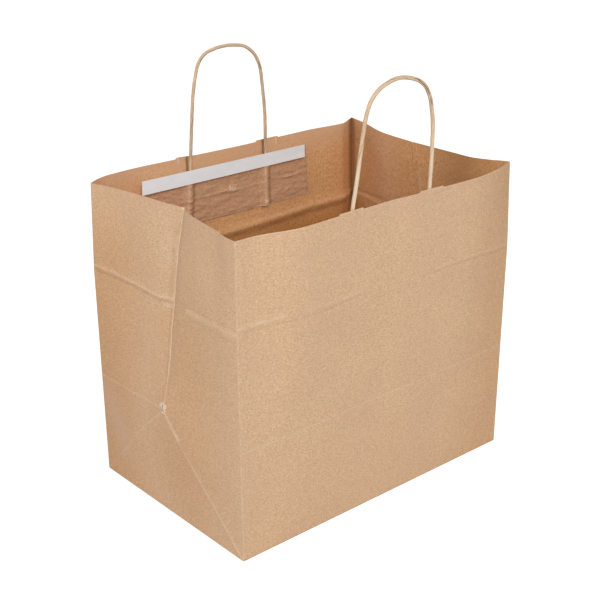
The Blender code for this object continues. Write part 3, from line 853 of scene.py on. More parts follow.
class PaperEffects:
    """Shader groups that the papers share: pressed lines and painted marks, crushed spots, fibres
    and ribs.
    """

    def __init__(self) -> None:
        """Build each group once."""
        self.line_mask = self._line_mask()
        self.fibres = self._fibres()
        self.ribs = self._ribs()
        self.crushed = self._crushed()

    @staticmethod
    def _line_mask() -> bpy.types.NodeTree:
        """Mask of a pressed line or painted mark between two places of the sheet, broken along its
        length.
        """
        graph = new_group(
            "line mask",
            {"Place": (0.0, 0.0, 0.0), "Start": (0.0, 0.0, 0.0), "End": (0.0, 1.0, 0.0),
             "Half Width": 0.001, "Broken": 0.5},
            ["Mask"],
        )
        source = graph.tree.nodes["Group Input"].outputs
        wobble = graph.add(
            "ShaderNodeTexNoise", {"Vector": source["Place"], "Scale": 140.0, "Detail": 2.0}
        ).outputs["Color"]
        wobble = graph.vector("SUBTRACT", wobble, (0.5, 0.5, 0.5))
        wobble = graph.vector("MULTIPLY", wobble, (0.0022, 0.0022, 0.0))
        place = graph.vector("ADD", source["Place"], wobble)
        place = graph.vector("SUBTRACT", place, source["Start"])
        run = graph.vector("SUBTRACT", source["End"], source["Start"])
        share = graph.maths(
            "DIVIDE",
            graph.vector("DOT_PRODUCT", place, run, out="Value"),
            graph.vector("DOT_PRODUCT", run, run, out="Value"),
        )
        share = graph.spread(share, 0.0, 1.0)
        foot = graph.add("ShaderNodeVectorMath", {0: run}, operation="SCALE")
        graph.put(foot.inputs["Scale"], share)
        apart = graph.vector("DISTANCE", place, foot.outputs[0], out="Value")
        mask = graph.spread(apart, 0.0, source["Half Width"], 1.0, 0.0, smooth=True)
        patches = graph.spread(graph.noise(source["Place"], 75.0, 3.0, 0.6), 0.36, 0.62)
        kept = graph.maths("SUBTRACT", 1.0, graph.maths("MULTIPLY", patches, source["Broken"]))
        graph.put(
            graph.tree.nodes["Group Output"].inputs["Mask"], graph.maths("MULTIPLY", mask, kept)
        )
        return graph.tree

    @staticmethod
    def _fibres() -> bpy.types.NodeTree:
        """Cloudy tone, pale and dark fibre flecks, and the height of the paper's felt."""
        graph = new_group(
            "paper fibres",
            {"Place": (0.0, 0.0, 0.0), "Grain": (0.8, 1.0, 1.0), "Cloud Size": 0.0014,
             "Fleck Size": 0.0009},
            ["Tone", "Pale Flecks", "Dark Flecks", "Height"],
        )
        source = graph.tree.nodes["Group Input"].outputs
        results = graph.tree.nodes["Group Output"].inputs
        cloud_scale = graph.maths("DIVIDE", 1.0, source["Cloud Size"])
        fleck_scale = graph.maths("DIVIDE", 1.0, source["Fleck Size"])
        felt = graph.noise(
            graph.vector("MULTIPLY", source["Place"], source["Grain"]), cloud_scale, 3.0, 0.62
        )
        broad = graph.noise(source["Place"], 170.0, 3.0, 0.6)
        layers = []
        for turn, offset in ((24.0, 3.1), (-31.0, 9.4), (78.0, 17.7)):
            shifted = graph.vector("ADD", source["Place"], (offset, offset, 0.0))
            strand = graph.scaled(shifted, (0.30, 1.0, 1.0), turn)
            layers.append(graph.noise(strand, fleck_scale, 1.0, 0.4))
        pale = graph.maths(
            "MAXIMUM", graph.spread(layers[0], 0.60, 0.72), graph.spread(layers[1], 0.61, 0.73)
        )
        tone = graph.maths("ADD", graph.maths("MULTIPLY", felt, 0.8),
                           graph.maths("MULTIPLY", broad, 0.2))
        graph.put(results["Tone"], graph.spread(tone, 0.32, 0.68))
        graph.put(results["Pale Flecks"], pale)
        graph.put(results["Dark Flecks"], graph.spread(layers[2], 0.60, 0.72))
        graph.put(results["Height"], graph.maths("ADD", felt, graph.maths("MULTIPLY", pale, 0.25)))
        return graph.tree

    @staticmethod
    def _crushed() -> bpy.types.NodeTree:
        """Sharp little ridges around a crushed spot: their height and their pale crests."""
        graph = new_group(
            "crushed spot",
            {"Place": (0.0, 0.0, 0.0), "Middle": (0.0, 0.0, 0.0), "Reach": 0.008,
             "Grain": 0.0036, "Depth": 1.0},
            ["Height", "Crest"],
        )
        source = graph.tree.nodes["Group Input"].outputs
        results = graph.tree.nodes["Group Output"].inputs
        apart = graph.vector("DISTANCE", source["Place"], source["Middle"], out="Value")
        mask = graph.spread(apart, graph.maths("MULTIPLY", source["Reach"], 0.25),
                            source["Reach"], 1.0, 0.0, smooth=True)
        cloud = graph.noise(source["Place"], graph.maths("DIVIDE", 1.0, source["Grain"]), 1.0, 0.5)
        off = graph.maths("ABSOLUTE", graph.maths("SUBTRACT", cloud, 0.5))
        ridge = graph.spread(off, 0.0, 0.16, 1.0, 0.0)
        ridge = graph.maths("MULTIPLY", ridge, mask)
        graph.put(results["Height"], graph.maths("MULTIPLY", ridge, source["Depth"]))
        graph.put(results["Crest"], graph.spread(ridge, 0.18, 0.55))
        return graph.tree

    @staticmethod
    def _ribs() -> bpy.types.NodeTree:
        """Fine level ribs that a ribbed kraft has from its machine."""
        graph = new_group("paper ribs", {"Place": (0.0, 0.0, 0.0), "Pitch": 0.0017}, ["Height"])
        source = graph.tree.nodes["Group Input"].outputs
        parts = graph.add("ShaderNodeSeparateXYZ", {"Vector": source["Place"]}).outputs
        stray = graph.noise(graph.scaled(source["Place"], (0.15, 1.0, 1.0)), 210.0, 2.0)
        stray = graph.maths("MULTIPLY", stray, 7.0)
        turns = graph.maths("MULTIPLY", parts["Y"], math.tau)
        turns = graph.maths("DIVIDE", turns, source["Pitch"])
        wave = graph.maths("SINE", graph.maths("ADD", turns, stray))
        patchy = graph.spread(graph.noise(source["Place"], 24.0, 3.0, 0.6), 0.38, 0.62)
        height = graph.maths("MULTIPLY", graph.spread(wave, -1.0, 1.0), patchy)
        graph.put(graph.tree.nodes["Group Output"].inputs["Height"], height)
        return graph.tree


def new_material(name: str) -> tuple[bpy.types.Material, Graph, bpy.types.Node]:
    """A material with an empty Principled surface.

    Args:
        name: the material's name.

    Returns:
        The material, the graph of its tree and its Principled node.
    """
    material = bpy.data.materials.new(name)
    material.use_nodes = True
    graph = Graph(material.node_tree)
    surface = material.node_tree.nodes["Principled BSDF"]
    return material, graph, surface


@dataclass(frozen=True)
class KraftFinish:
    """Uncoated kraft paper, mottled and fibrous, worn pale where it is folded, and tinted with the
    painted highlights, shadows and shade of its marks.
    """

    name: str
    shade: Colour = (0.635, 0.415, 0.25)
    deep: Colour = (0.46, 0.275, 0.148)
    pale: Colour = (0.80, 0.62, 0.45)
    flush: Colour = (0.575, 0.36, 0.235)
    grey: Colour = (0.60, 0.40, 0.29)
    # Colour of the painted shade: darker, more saturated paper where less light reaches
    painted_shade: Colour = (0.545, 0.312, 0.160)
    grain: tuple[float, float, float] = (0.8, 1.0, 1.0)
    mottle: float = 0.80
    fleck: float = 0.36
    dark_fleck: float = 0.08
    flush_share: float = 0.35
    rib_pitch: float = 0.0017
    rib_tone: float = 0.07
    rib_height: float = 0.35
    bump: float = 0.00011
    roughness: float = 0.84
    specular: float = 0.25
    painted_shade_range: tuple[float, float] = (0.76, 1.24)
    dark_fleck_tone: float = 0.72
    dark_line_tone: float = 0.62
    crest_tone: float = 1.06
    crush_share: float = 0.6

    def material(self, effects: PaperEffects, folds: Iterable[PaperMark] = (),
                 crumples: Iterable[Crumple] = ()) -> bpy.types.Material:
        """Build the finish as a material.

        Args:
            effects: the papers' shader groups.
            folds: pressed lines and painted marks that show in it.
            crumples: crushed spots that show in it.

        Returns:
            The material.
        """
        material, graph, surface = new_material(self.name)
        place = graph.add("ShaderNodeUVMap", uv_map="UVMap").outputs["UV"]
        fibres = graph.add("ShaderNodeGroup", node_tree=effects.fibres)
        graph.put(fibres.inputs["Place"], place)
        fibres.inputs["Grain"].default_value = self.grain
        ribs = graph.add("ShaderNodeGroup", node_tree=effects.ribs)
        graph.put(ribs.inputs["Place"], place)
        ribs.inputs["Pitch"].default_value = self.rib_pitch
        tone = graph.spread(
            fibres.outputs["Tone"], 0.0, 1.0, 0.5 - self.mottle / 2, 0.5 + self.mottle / 2
        )
        tone = graph.maths(
            "SUBTRACT", tone, graph.maths("MULTIPLY", ribs.outputs["Height"], self.rib_tone)
        )
        bright = tuple(min(2.0 * a - b, 1.0) for a, b in zip(self.shade, self.deep))
        colour = graph.blend(tone, self.deep, bright)
        blotch = graph.spread(graph.noise(place, 16.0, 3.0, 0.55), 0.40, 0.70)
        colour = graph.blend(
            graph.maths("MULTIPLY", blotch, self.flush_share), colour, self.flush
        )
        light, dark, grey, painted_shade = self._wear_and_painted_shade(graph, effects, place, folds)
        # Painted shade: darker, more saturated paper where less light reaches
        if painted_shade is not None:
            dull, bright = (toned(self.painted_shade, share) for share in self.painted_shade_range)
            colour = graph.blend(painted_shade, colour, graph.blend(tone, dull, bright))
        colour = graph.blend(
            graph.maths("MULTIPLY", fibres.outputs["Pale Flecks"], self.fleck), colour, self.pale
        )
        colour = graph.blend(
            graph.maths("MULTIPLY", fibres.outputs["Dark Flecks"], self.dark_fleck), colour,
            toned(self.deep, self.dark_fleck_tone),
        )
        # Grey tints, dark lines and light lines: wear and pressed lines, and also painted light,
        # shadows and highlights
        if grey is not None:
            colour = graph.blend(grey, colour, self.grey)
        if dark is not None:
            colour = graph.blend(dark, colour, toned(self.deep, self.dark_line_tone))
        if light is not None:
            colour = graph.blend(light, colour, self.pale)
        height = graph.maths(
            "ADD", fibres.outputs["Height"],
            graph.maths("MULTIPLY", ribs.outputs["Height"], self.rib_height),
        )
        for crumple in crumples:
            spot = graph.add("ShaderNodeGroup", node_tree=effects.crushed)
            graph.put(spot.inputs["Place"], place)
            spot.inputs["Middle"].default_value = (*crumple.middle, 0.0)
            spot.inputs["Reach"].default_value = crumple.reach
            spot.inputs["Grain"].default_value = crumple.grain
            depth = self.crush_share * crumple.height / self.bump
            spot.inputs["Depth"].default_value = depth
            height = graph.maths("ADD", height, spot.outputs["Height"])
            crest = graph.maths("MULTIPLY", spot.outputs["Crest"], crumple.pale)
            colour = graph.blend(crest, colour, toned(self.pale, self.crest_tone))
        graph.put(surface.inputs["Base Color"], colour)
        surface.inputs["Roughness"].default_value = self.roughness
        surface.inputs["Specular IOR Level"].default_value = self.specular
        bump = graph.add("ShaderNodeBump", {"Height": height, "Distance": self.bump,
                                            "Strength": 1.0})
        graph.put(surface.inputs["Normal"], bump.outputs[0])
        return material

    @staticmethod
    def _wear_and_painted_shade(graph: Graph, effects: PaperEffects, place: bpy.types.NodeSocket,
              folds: Iterable[PaperMark]) -> tuple[bpy.types.NodeSocket | None, ...]:
        """Masks of the light, dark, grey and painted-shade marks: wear and pressed lines, and
        painted highlights, shadows and shade.

        Args:
            graph: the material's graph.
            effects: the papers' shader groups.
            place: the place on the sheet.
            folds: the marks.

        Returns:
            One mask for each of the four tints, or None for a tint that no mark has.
        """
        masks: list[bpy.types.NodeSocket | None] = [None] * 4
        for fold in folds:
            for kind, strength in enumerate((fold.light, fold.dark, fold.grey, fold.painted_shade)):
                if strength == 0.0:
                    continue
                line = graph.add("ShaderNodeGroup", node_tree=effects.line_mask)
                graph.put(line.inputs["Place"], place)
                line.inputs["Start"].default_value = (*fold.start, 0.0)
                line.inputs["End"].default_value = (*fold.end, 0.0)
                line.inputs["Half Width"].default_value = fold.line
                even = fold.line >= WIDE_MARK
                line.inputs["Broken"].default_value = 0.0 if even else fold.broken
                mask = graph.maths("MULTIPLY", line.outputs["Mask"], strength)
                if masks[kind] is not None:
                    mask = graph.maths("MAXIMUM", masks[kind], mask)
                masks[kind] = mask
        return tuple(masks)


@dataclass(frozen=True)
class RopeFinish:
    """Twisted kraft paper: streaks that follow the twist and the wound paper's edge."""

    name: str
    shade: Colour = (0.54, 0.345, 0.195)
    pale: Colour = (0.78, 0.585, 0.395)
    dark: Colour = (0.25, 0.13, 0.065)
    pale_from: float = 0.300
    pale_to: float = 0.300
    pale_share: float = 0.0
    roughness: float = 0.72
    # Paler colour of the rope's lower part, below pale_from
    paler_low: Colour = (0.82, 0.68, 0.51)
    marks: tuple[tuple[float, float, float, float], ...] = ()
    mark_shade: Colour = (0.10, 0.05, 0.02)
    mark_share: float = 0.92
    mark_half_width: float = 0.0008
    girth: float = 0.01257
    streak_rate: float = 28.0

    def material(self, effects: PaperEffects) -> bpy.types.Material:
        """Build the finish as a material.

        Args:
            effects: the papers' shader groups.

        Returns:
            The material.
        """
        material, graph, surface = new_material(self.name)
        along = graph.add("ShaderNodeAttribute", attribute_name="rope_along").outputs["Fac"]
        around = graph.add("ShaderNodeAttribute", attribute_name="rope_around").outputs["Fac"]
        turn = graph.maths("MULTIPLY", around, math.tau)
        wound = graph.add("ShaderNodeCombineXYZ", {
            "X": graph.maths("COSINE", turn), "Y": graph.maths("SINE", turn),
            "Z": graph.maths("MULTIPLY", along, self.streak_rate),
        }).outputs[0]
        streaks = graph.noise(wound, 3.2, 3.0, 0.6)
        fine = graph.noise(wound, 9.0, 2.0, 0.5)
        colour = graph.blend(graph.spread(streaks, 0.36, 0.62), self.shade, self.pale)
        colour = graph.blend(
            graph.maths("MULTIPLY", graph.spread(fine, 0.55, 0.70), 0.45), colour, self.dark
        )
        edge = graph.maths("ABSOLUTE", graph.maths("SUBTRACT", around, 0.5))
        edge = graph.spread(edge, 0.0, 0.055, 1.0, 0.0, smooth=True)
        held = graph.spread(graph.noise(wound, 1.3, 2.0), 0.42, 0.60)
        edge = graph.maths("MULTIPLY", graph.maths("MULTIPLY", edge, held), 0.65)
        colour = graph.blend(edge, colour, self.dark)
        # Paler towards the lower part of the rope, blending out between pale_from and pale_to
        if self.pale_share > 0.0:
            spot = graph.add("ShaderNodeTexCoord").outputs["Object"]
            height = graph.add("ShaderNodeSeparateXYZ", {"Vector": spot}).outputs["Z"]
            low = graph.spread(height, self.pale_from, self.pale_to, self.pale_share, 0.0,
                               smooth=True)
            colour = graph.blend(low, colour, self.paler_low)
        spread = graph.add("ShaderNodeCombineXYZ", {
            "X": along, "Y": graph.maths("MULTIPLY", around, self.girth),
        }).outputs[0]
        for first_along, first_around, last_along, last_around in self.marks:
            line = graph.add(
                "ShaderNodeGroup",
                {"Place": spread, "Half Width": self.mark_half_width, "Broken": 0.0},
                node_tree=effects.line_mask,
            )
            line.inputs["Start"].default_value = (first_along, first_around * self.girth, 0.0)
            line.inputs["End"].default_value = (last_along, last_around * self.girth, 0.0)
            mark = graph.maths("MULTIPLY", line.outputs["Mask"], self.mark_share)
            colour = graph.blend(mark, colour, self.mark_shade)
        graph.put(surface.inputs["Base Color"], colour)
        surface.inputs["Roughness"].default_value = self.roughness
        bump = graph.add("ShaderNodeBump", {
            "Height": graph.maths("SUBTRACT", streaks, edge), "Distance": 0.0004, "Strength": 0.8,
        })
        graph.put(surface.inputs["Normal"], bump.outputs[0])
        return material


@dataclass(frozen=True)
class LinerFinish:
    """Smooth grey silicone-coated liner of the closure strip."""

    name: str = "grey_release_liner"
    # Lighter and bluer than the real grey liner: painted light that makes up for the dim, warm
    # light inside the mouth
    shade: Colour = (0.90, 0.93, 0.95)
    cloud_tone: float = 0.955
    roughness: float = 0.48

    def material(self) -> bpy.types.Material:
        """Build the finish as a material."""
        material, graph, surface = new_material(self.name)
        spot = graph.add("ShaderNodeTexCoord").outputs["Object"]
        cloud = graph.noise(graph.scaled(spot, (1.0, 1.0, 2.5)), 60.0, 3.0, 0.6)
        darker = toned(self.shade, self.cloud_tone)
        colour = graph.blend(graph.spread(cloud, 0.35, 0.65), darker, self.shade)
        graph.put(surface.inputs["Base Color"], colour)
        graph.put(
            surface.inputs["Roughness"],
            graph.spread(cloud, 0.3, 0.7, self.roughness - 0.05, self.roughness + 0.07),
        )
        bump = graph.add("ShaderNodeBump", {
            "Height": graph.noise(spot, 700.0, 2.0), "Distance": 0.00004, "Strength": 0.4,
        })
        graph.put(surface.inputs["Normal"], bump.outputs[0])
        return material


@dataclass
class BagBody:
    """The folded and glued kraft sheet: four walls, a floor and the two flaps below it."""

    shape: SheetShape
    effects: PaperEffects
    node: str = "bag_body"
    gusset_cells: int = 64
    bottom_rows: int = 32
    panel_pitch: float = 0.0033
    row_pitch: float = 0.0034
    fold_pitch: float = 0.00125
    fold_zone: tuple[float, float] = (0.1975, 0.2175)
    tab_rise: float = 0.0014
    tab_width: float = 0.0275
    tab_spacing: float = 0.0923
    tab_centres: tuple[tuple[Wall, float], ...] = ((Wall.FRONT, 0.0016), (Wall.BACK, -0.0016))
    flap_layer: float = 0.0002
    flap_inset: float = 0.0004
    flap_past_middle: float = 0.012
    flap_gap: float = 0.00004
    sharp_turn: float = 26.0

    def tab_edges(self, wall: Wall) -> list[float]:
        """Shares along a wide panel at which its two raised tabs start and end."""
        centre = dict(self.tab_centres)[wall]
        edges = []
        for which in (-1, 1):
            for end in (-1, 1):
                x = centre + which * self.tab_spacing / 2 + end * self.tab_width / 2
                edges.append(self.shape.share_at_x(wall, x, self.shape.height))
        return sorted(edges)

    def columns(self) -> list[tuple[Wall, float, float]]:
        """Every column of the sheet: its wall, its share along it and its rim's rise."""
        shape = self.shape
        columns = []
        for wall in Wall:
            if wall.gusset:
                shares = [k / self.gusset_cells for k in range(self.gusset_cells)]
                columns += [(wall, u, 0.0) for u in shares]
                continue
            edges = self.tab_edges(wall)
            half_run = shape.step_run / 2 / shape.width
            stops = [0.0]
            if wall is Wall.BACK:
                for x in (shape.seam_start, shape.seam_lap):
                    stops += [x / shape.width, (x + shape.step_run) / shape.width]
            for edge in edges:
                stops += [edge - half_run, edge + half_run]
            stops.append(1.0)
            for u in filled(stops, self.panel_pitch / shape.width)[:-1]:
                rise = self.tab_rise if edges[0] < u < edges[1] else 0.0
                if edges[2] < u < edges[3]:
                    through = (u - edges[2]) / (edges[3] - edges[2])
                    rise = self.tab_rise * (ease(through) if wall is Wall.BACK else 1.0)
                columns.append((wall, u, rise))
        return columns

    def heights(self) -> list[float]:
        """Heights of the rows, close together at the packing fold."""
        shape = self.shape
        bottom = [shape.bottom_fold * k / self.bottom_rows for k in range(self.bottom_rows + 1)]
        low, high = self.fold_zone
        middle = filled([bottom[-1], low], self.row_pitch)
        creased = filled([low, high], self.fold_pitch)
        upper = filled([high, shape.height], self.row_pitch)
        return bottom + middle[1:] + creased[1:] + upper[1:]

    def sheet(self) -> bpy.types.Mesh:
        """The walls and floor as one open surface, mapped by girth and height."""
        shape = self.shape
        columns, heights = self.columns(), self.heights()
        count = len(columns)
        bm = bmesh.new()
        paper = bm.loops.layers.uv.new("UVMap")
        rows = []
        for z in heights:
            row = []
            for wall, u, rise in columns:
                point = shape.point(wall, u, z)
                point.z = max(point.z, shape.foot) + (rise if z == heights[-1] else 0.0)
                row.append(bm.verts.new(point))
            rows.append(row)
        girths = []
        for wall, u, _ in columns:
            girths.append(GIRTH_START[wall] + u * (shape.depth if wall.gusset else shape.width))
        girths.append(GIRTH)
        walls = list(Wall)

        def patch(corners: Sequence[tuple[int, int]]) -> None:
            """Add one face over the (row, column) corners, with its place on the sheet."""
            face = bm.faces.new([rows[r][c % count] for r, c in corners])
            face.material_index = walls.index(columns[min(c for _, c in corners)][0])
            for loop, (r, c) in zip(face.loops, corners):
                loop[paper].uv = (girths[c], heights[r])

        for r in range(len(heights) - 1):
            for c in range(count):
                wall, u, _ = columns[c]
                if not wall.gusset or r >= self.bottom_rows:
                    patch([(r, c), (r, c + 1), (r + 1, c + 1), (r + 1, c)])
                elif u >= 0.5:
                    patch([(r, c), (r, c + 1), (r + 1, c)])
                    patch([(r, c + 1), (r + 1, c + 1), (r + 1, c)])
                else:
                    patch([(r, c), (r, c + 1), (r + 1, c + 1)])
                    patch([(r, c), (r + 1, c + 1), (r + 1, c)])
        self._floor(bm, rows[0], paper)
        return mesh_of(bm, self.node)

    @staticmethod
    def _floor(bm: bmesh.types.BMesh, foot: list[bmesh.types.BMVert],
               paper: bmesh.types.BMLayerItem) -> None:
        """Close the bottom of the walls with one flat face."""
        face = bm.faces.new(list(reversed(foot)))
        for loop in face.loops:
            loop[paper].uv = (2.0 + loop.vert.co.x, loop.vert.co.y)

    def flap(self, facing: int, bottom: float, name: str) -> bpy.types.Object:
        """One bottom flap, folded in from the front (-1) or the back (1).

        Args:
            facing: which wide panel it comes from.
            bottom: height of its lower face.
            name: name of the object.

        Returns:
            The flap as a thin closed piece.
        """
        shape = self.shape
        long_half = shape.width / 2 - self.flap_inset
        base = facing * (shape.depth / 2 - self.flap_inset)
        free = -facing * self.flap_past_middle
        free_half = long_half - abs(free - base)
        outline = [(-long_half, base), (long_half, base), (free_half, free), (-free_half, free)]
        bm = bmesh.new()
        paper = bm.loops.layers.uv.new("UVMap")
        face = bm.faces.new([bm.verts.new((x, y, bottom)) for x, y in outline])
        lifted = bmesh.ops.extrude_face_region(bm, geom=[face])
        risen = [part for part in lifted["geom"] if isinstance(part, bmesh.types.BMVert)]
        depth = shape.foot - bottom - self.flap_gap
        bmesh.ops.translate(bm, verts=risen, vec=(0.0, 0.0, depth))
        bmesh.ops.recalc_face_normals(bm, faces=bm.faces)
        for part in bm.faces:
            for loop in part.loops:
                loop[paper].uv = (3.0 + facing + loop.vert.co.x, loop.vert.co.y)
        return linked(name, mesh_of(bm, name))

    def finish(self, face: Face, wall: Wall) -> bpy.types.Material:
        """Kraft finish of one side of a wall, with the pressed lines and painted marks that it
        shows.
        """
        name = f"kraft_{face.value}_{wall.name.lower()}"
        if face is Face.OUTSIDE:
            finish = KraftFinish(name)
        else:
            # Inside: a darker, more saturated copy of the kraft, painted shade of the bag's
            # interior; its grey is painted light near the rim and its shade tint deepens the paper
            # lower down
            finish = KraftFinish(
                name, shade=(0.69, 0.375, 0.168), deep=(0.47, 0.22, 0.078),
                pale=(0.81, 0.55, 0.37), flush=(0.61, 0.31, 0.128), grey=(0.72, 0.45, 0.28),
                painted_shade=(0.54, 0.235, 0.055),
                grain=(1.0, 0.5, 1.0), mottle=0.95, fleck=0.22, rib_tone=0.03, rib_height=0.15,
            )
        folds = [fold for fold in self.shape.folds if fold.shows(face, wall)]
        start = GIRTH_START[wall]
        crumples = [
            spot for spot in CRUMPLES if start < spot.middle[0] < start + WALL_LENGTH[wall]
        ]
        return finish.material(self.effects, folds, crumples)

    def build(self) -> list[bpy.types.Object]:
        """Build the sheet and its flaps, and put them on the body."""
        flaps = KraftFinish("kraft_bottom_flaps").material(self.effects)
        body = linked("bag_sheet", self.sheet())
        for face in (Face.OUTSIDE, Face.INSIDE):
            for wall in Wall:
                body.data.materials.append(self.finish(face, wall))
        thicken(
            body, self.shape.thickness, use_even_offset=True, material_offset=len(Wall),
            material_offset_rim=0,
        )
        shade_by_angle(body.data, self.sharp_turn)
        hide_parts(self.node)
        pieces = [body]
        for name, facing, bottom in (
            ("outer_bottom_flap", -1, 0.0), ("inner_bottom_flap", 1, self.flap_layer),
        ):
            flap = self.flap(facing, bottom, name)
            flap.data.materials.append(flaps)
            pieces.append(flap)
        for piece in pieces:
            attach(piece, "root")
        return pieces


def rope_tree() -> bpy.types.NodeTree:
    """Geometry nodes that lay a twisted paper rope along a path.

    Returns:
        A tree with the inputs Radius, Furrows, Furrow Depth, Turn Length, Step, Unevenness
        and Finish.
    """
    tree = bpy.data.node_groups.new("twisted rope", "GeometryNodeTree")
    graph = Graph(tree)
    tree.interface.new_socket(name="Geometry", in_out="INPUT", socket_type="NodeSocketGeometry")
    defaults = {"Radius": 0.002, "Furrows": 5.0, "Furrow Depth": 0.06, "Turn Length": 0.07,
                "Step": 0.0012, "Unevenness": 0.00025}
    for name, default in defaults.items():
        socket = tree.interface.new_socket(
            name=name, in_out="INPUT", socket_type="NodeSocketFloat"
        )
        socket.default_value = default
    tree.interface.new_socket(name="Finish", in_out="INPUT", socket_type="NodeSocketMaterial")
    tree.interface.new_socket(name="Geometry", in_out="OUTPUT", socket_type="NodeSocketGeometry")
    given = graph.add("NodeGroupInput").outputs

    path = graph.add("GeometryNodeMeshToCurve", {"Mesh": given["Geometry"]}).outputs[0]
    resample = graph.add("GeometryNodeResampleCurve", {"Curve": path})
    resample.mode = "LENGTH"
    graph.put(resample.inputs["Length"], given["Step"])
    reach = graph.add("GeometryNodeSplineParameter").outputs
    twist = graph.maths(
        "DIVIDE", graph.maths("MULTIPLY", reach["Length"], math.tau), given["Turn Length"]
    )
    tilted = graph.add(
        "GeometryNodeSetCurveTilt", {"Curve": resample.outputs[0], "Tilt": twist}
    ).outputs[0]
    tilted = graph.add(
        "GeometryNodeStoreNamedAttribute",
        {"Geometry": tilted, "Name": "rope_along", "Value": reach["Length"]},
        data_type="FLOAT", domain="POINT",
    ).outputs[0]

    ring = graph.add(
        "GeometryNodeCurvePrimitiveCircle", {"Resolution": 30, "Radius": given["Radius"]},
        mode="RADIUS",
    ).outputs[0]
    share = graph.add("GeometryNodeSplineParameter").outputs["Factor"]
    lobes = graph.maths("MULTIPLY", graph.maths("MULTIPLY", share, math.tau), given["Furrows"])
    dip = graph.maths("ABSOLUTE", graph.maths("SINE", graph.maths("MULTIPLY", lobes, 0.5)))
    dip = graph.maths("SUBTRACT", dip, 0.7)
    swell = graph.maths("MULTIPLY", dip, given["Furrow Depth"])
    push = graph.add("ShaderNodeVectorMath", {0: graph.add("GeometryNodeInputPosition").outputs[0]},
                     operation="SCALE")
    graph.put(push.inputs["Scale"], swell)
    ring = graph.add(
        "GeometryNodeSetPosition", {"Geometry": ring, "Offset": push.outputs[0]}
    ).outputs[0]
    ring = graph.add(
        "GeometryNodeStoreNamedAttribute",
        {"Geometry": ring, "Name": "rope_around", "Value": share},
        data_type="FLOAT", domain="POINT",
    ).outputs[0]

    swept = graph.add(
        "GeometryNodeCurveToMesh",
        {"Curve": tilted, "Profile Curve": ring, "Fill Caps": True},
    ).outputs[0]
    rough = graph.add("ShaderNodeTexNoise", {"Scale": 130.0, "Detail": 2.0}).outputs[0]
    rough = graph.maths("MULTIPLY", graph.maths("SUBTRACT", rough, 0.5), given["Unevenness"])
    shove = graph.add("ShaderNodeVectorMath", {0: graph.add("GeometryNodeInputNormal").outputs[0]},
                      operation="SCALE")
    graph.put(shove.inputs["Scale"], rough)
    uneven = graph.add(
        "GeometryNodeSetPosition", {"Geometry": swept, "Offset": shove.outputs[0]}
    ).outputs[0]
    solid = graph.add("GeometryNodeRealizeInstances", {"Geometry": uneven}).outputs[0]
    dressed = graph.add(
        "GeometryNodeSetMaterial", {"Geometry": solid, "Material": given["Finish"]}
    ).outputs[0]
    graph.add("NodeGroupOutput", {"Geometry": dressed})
    return tree


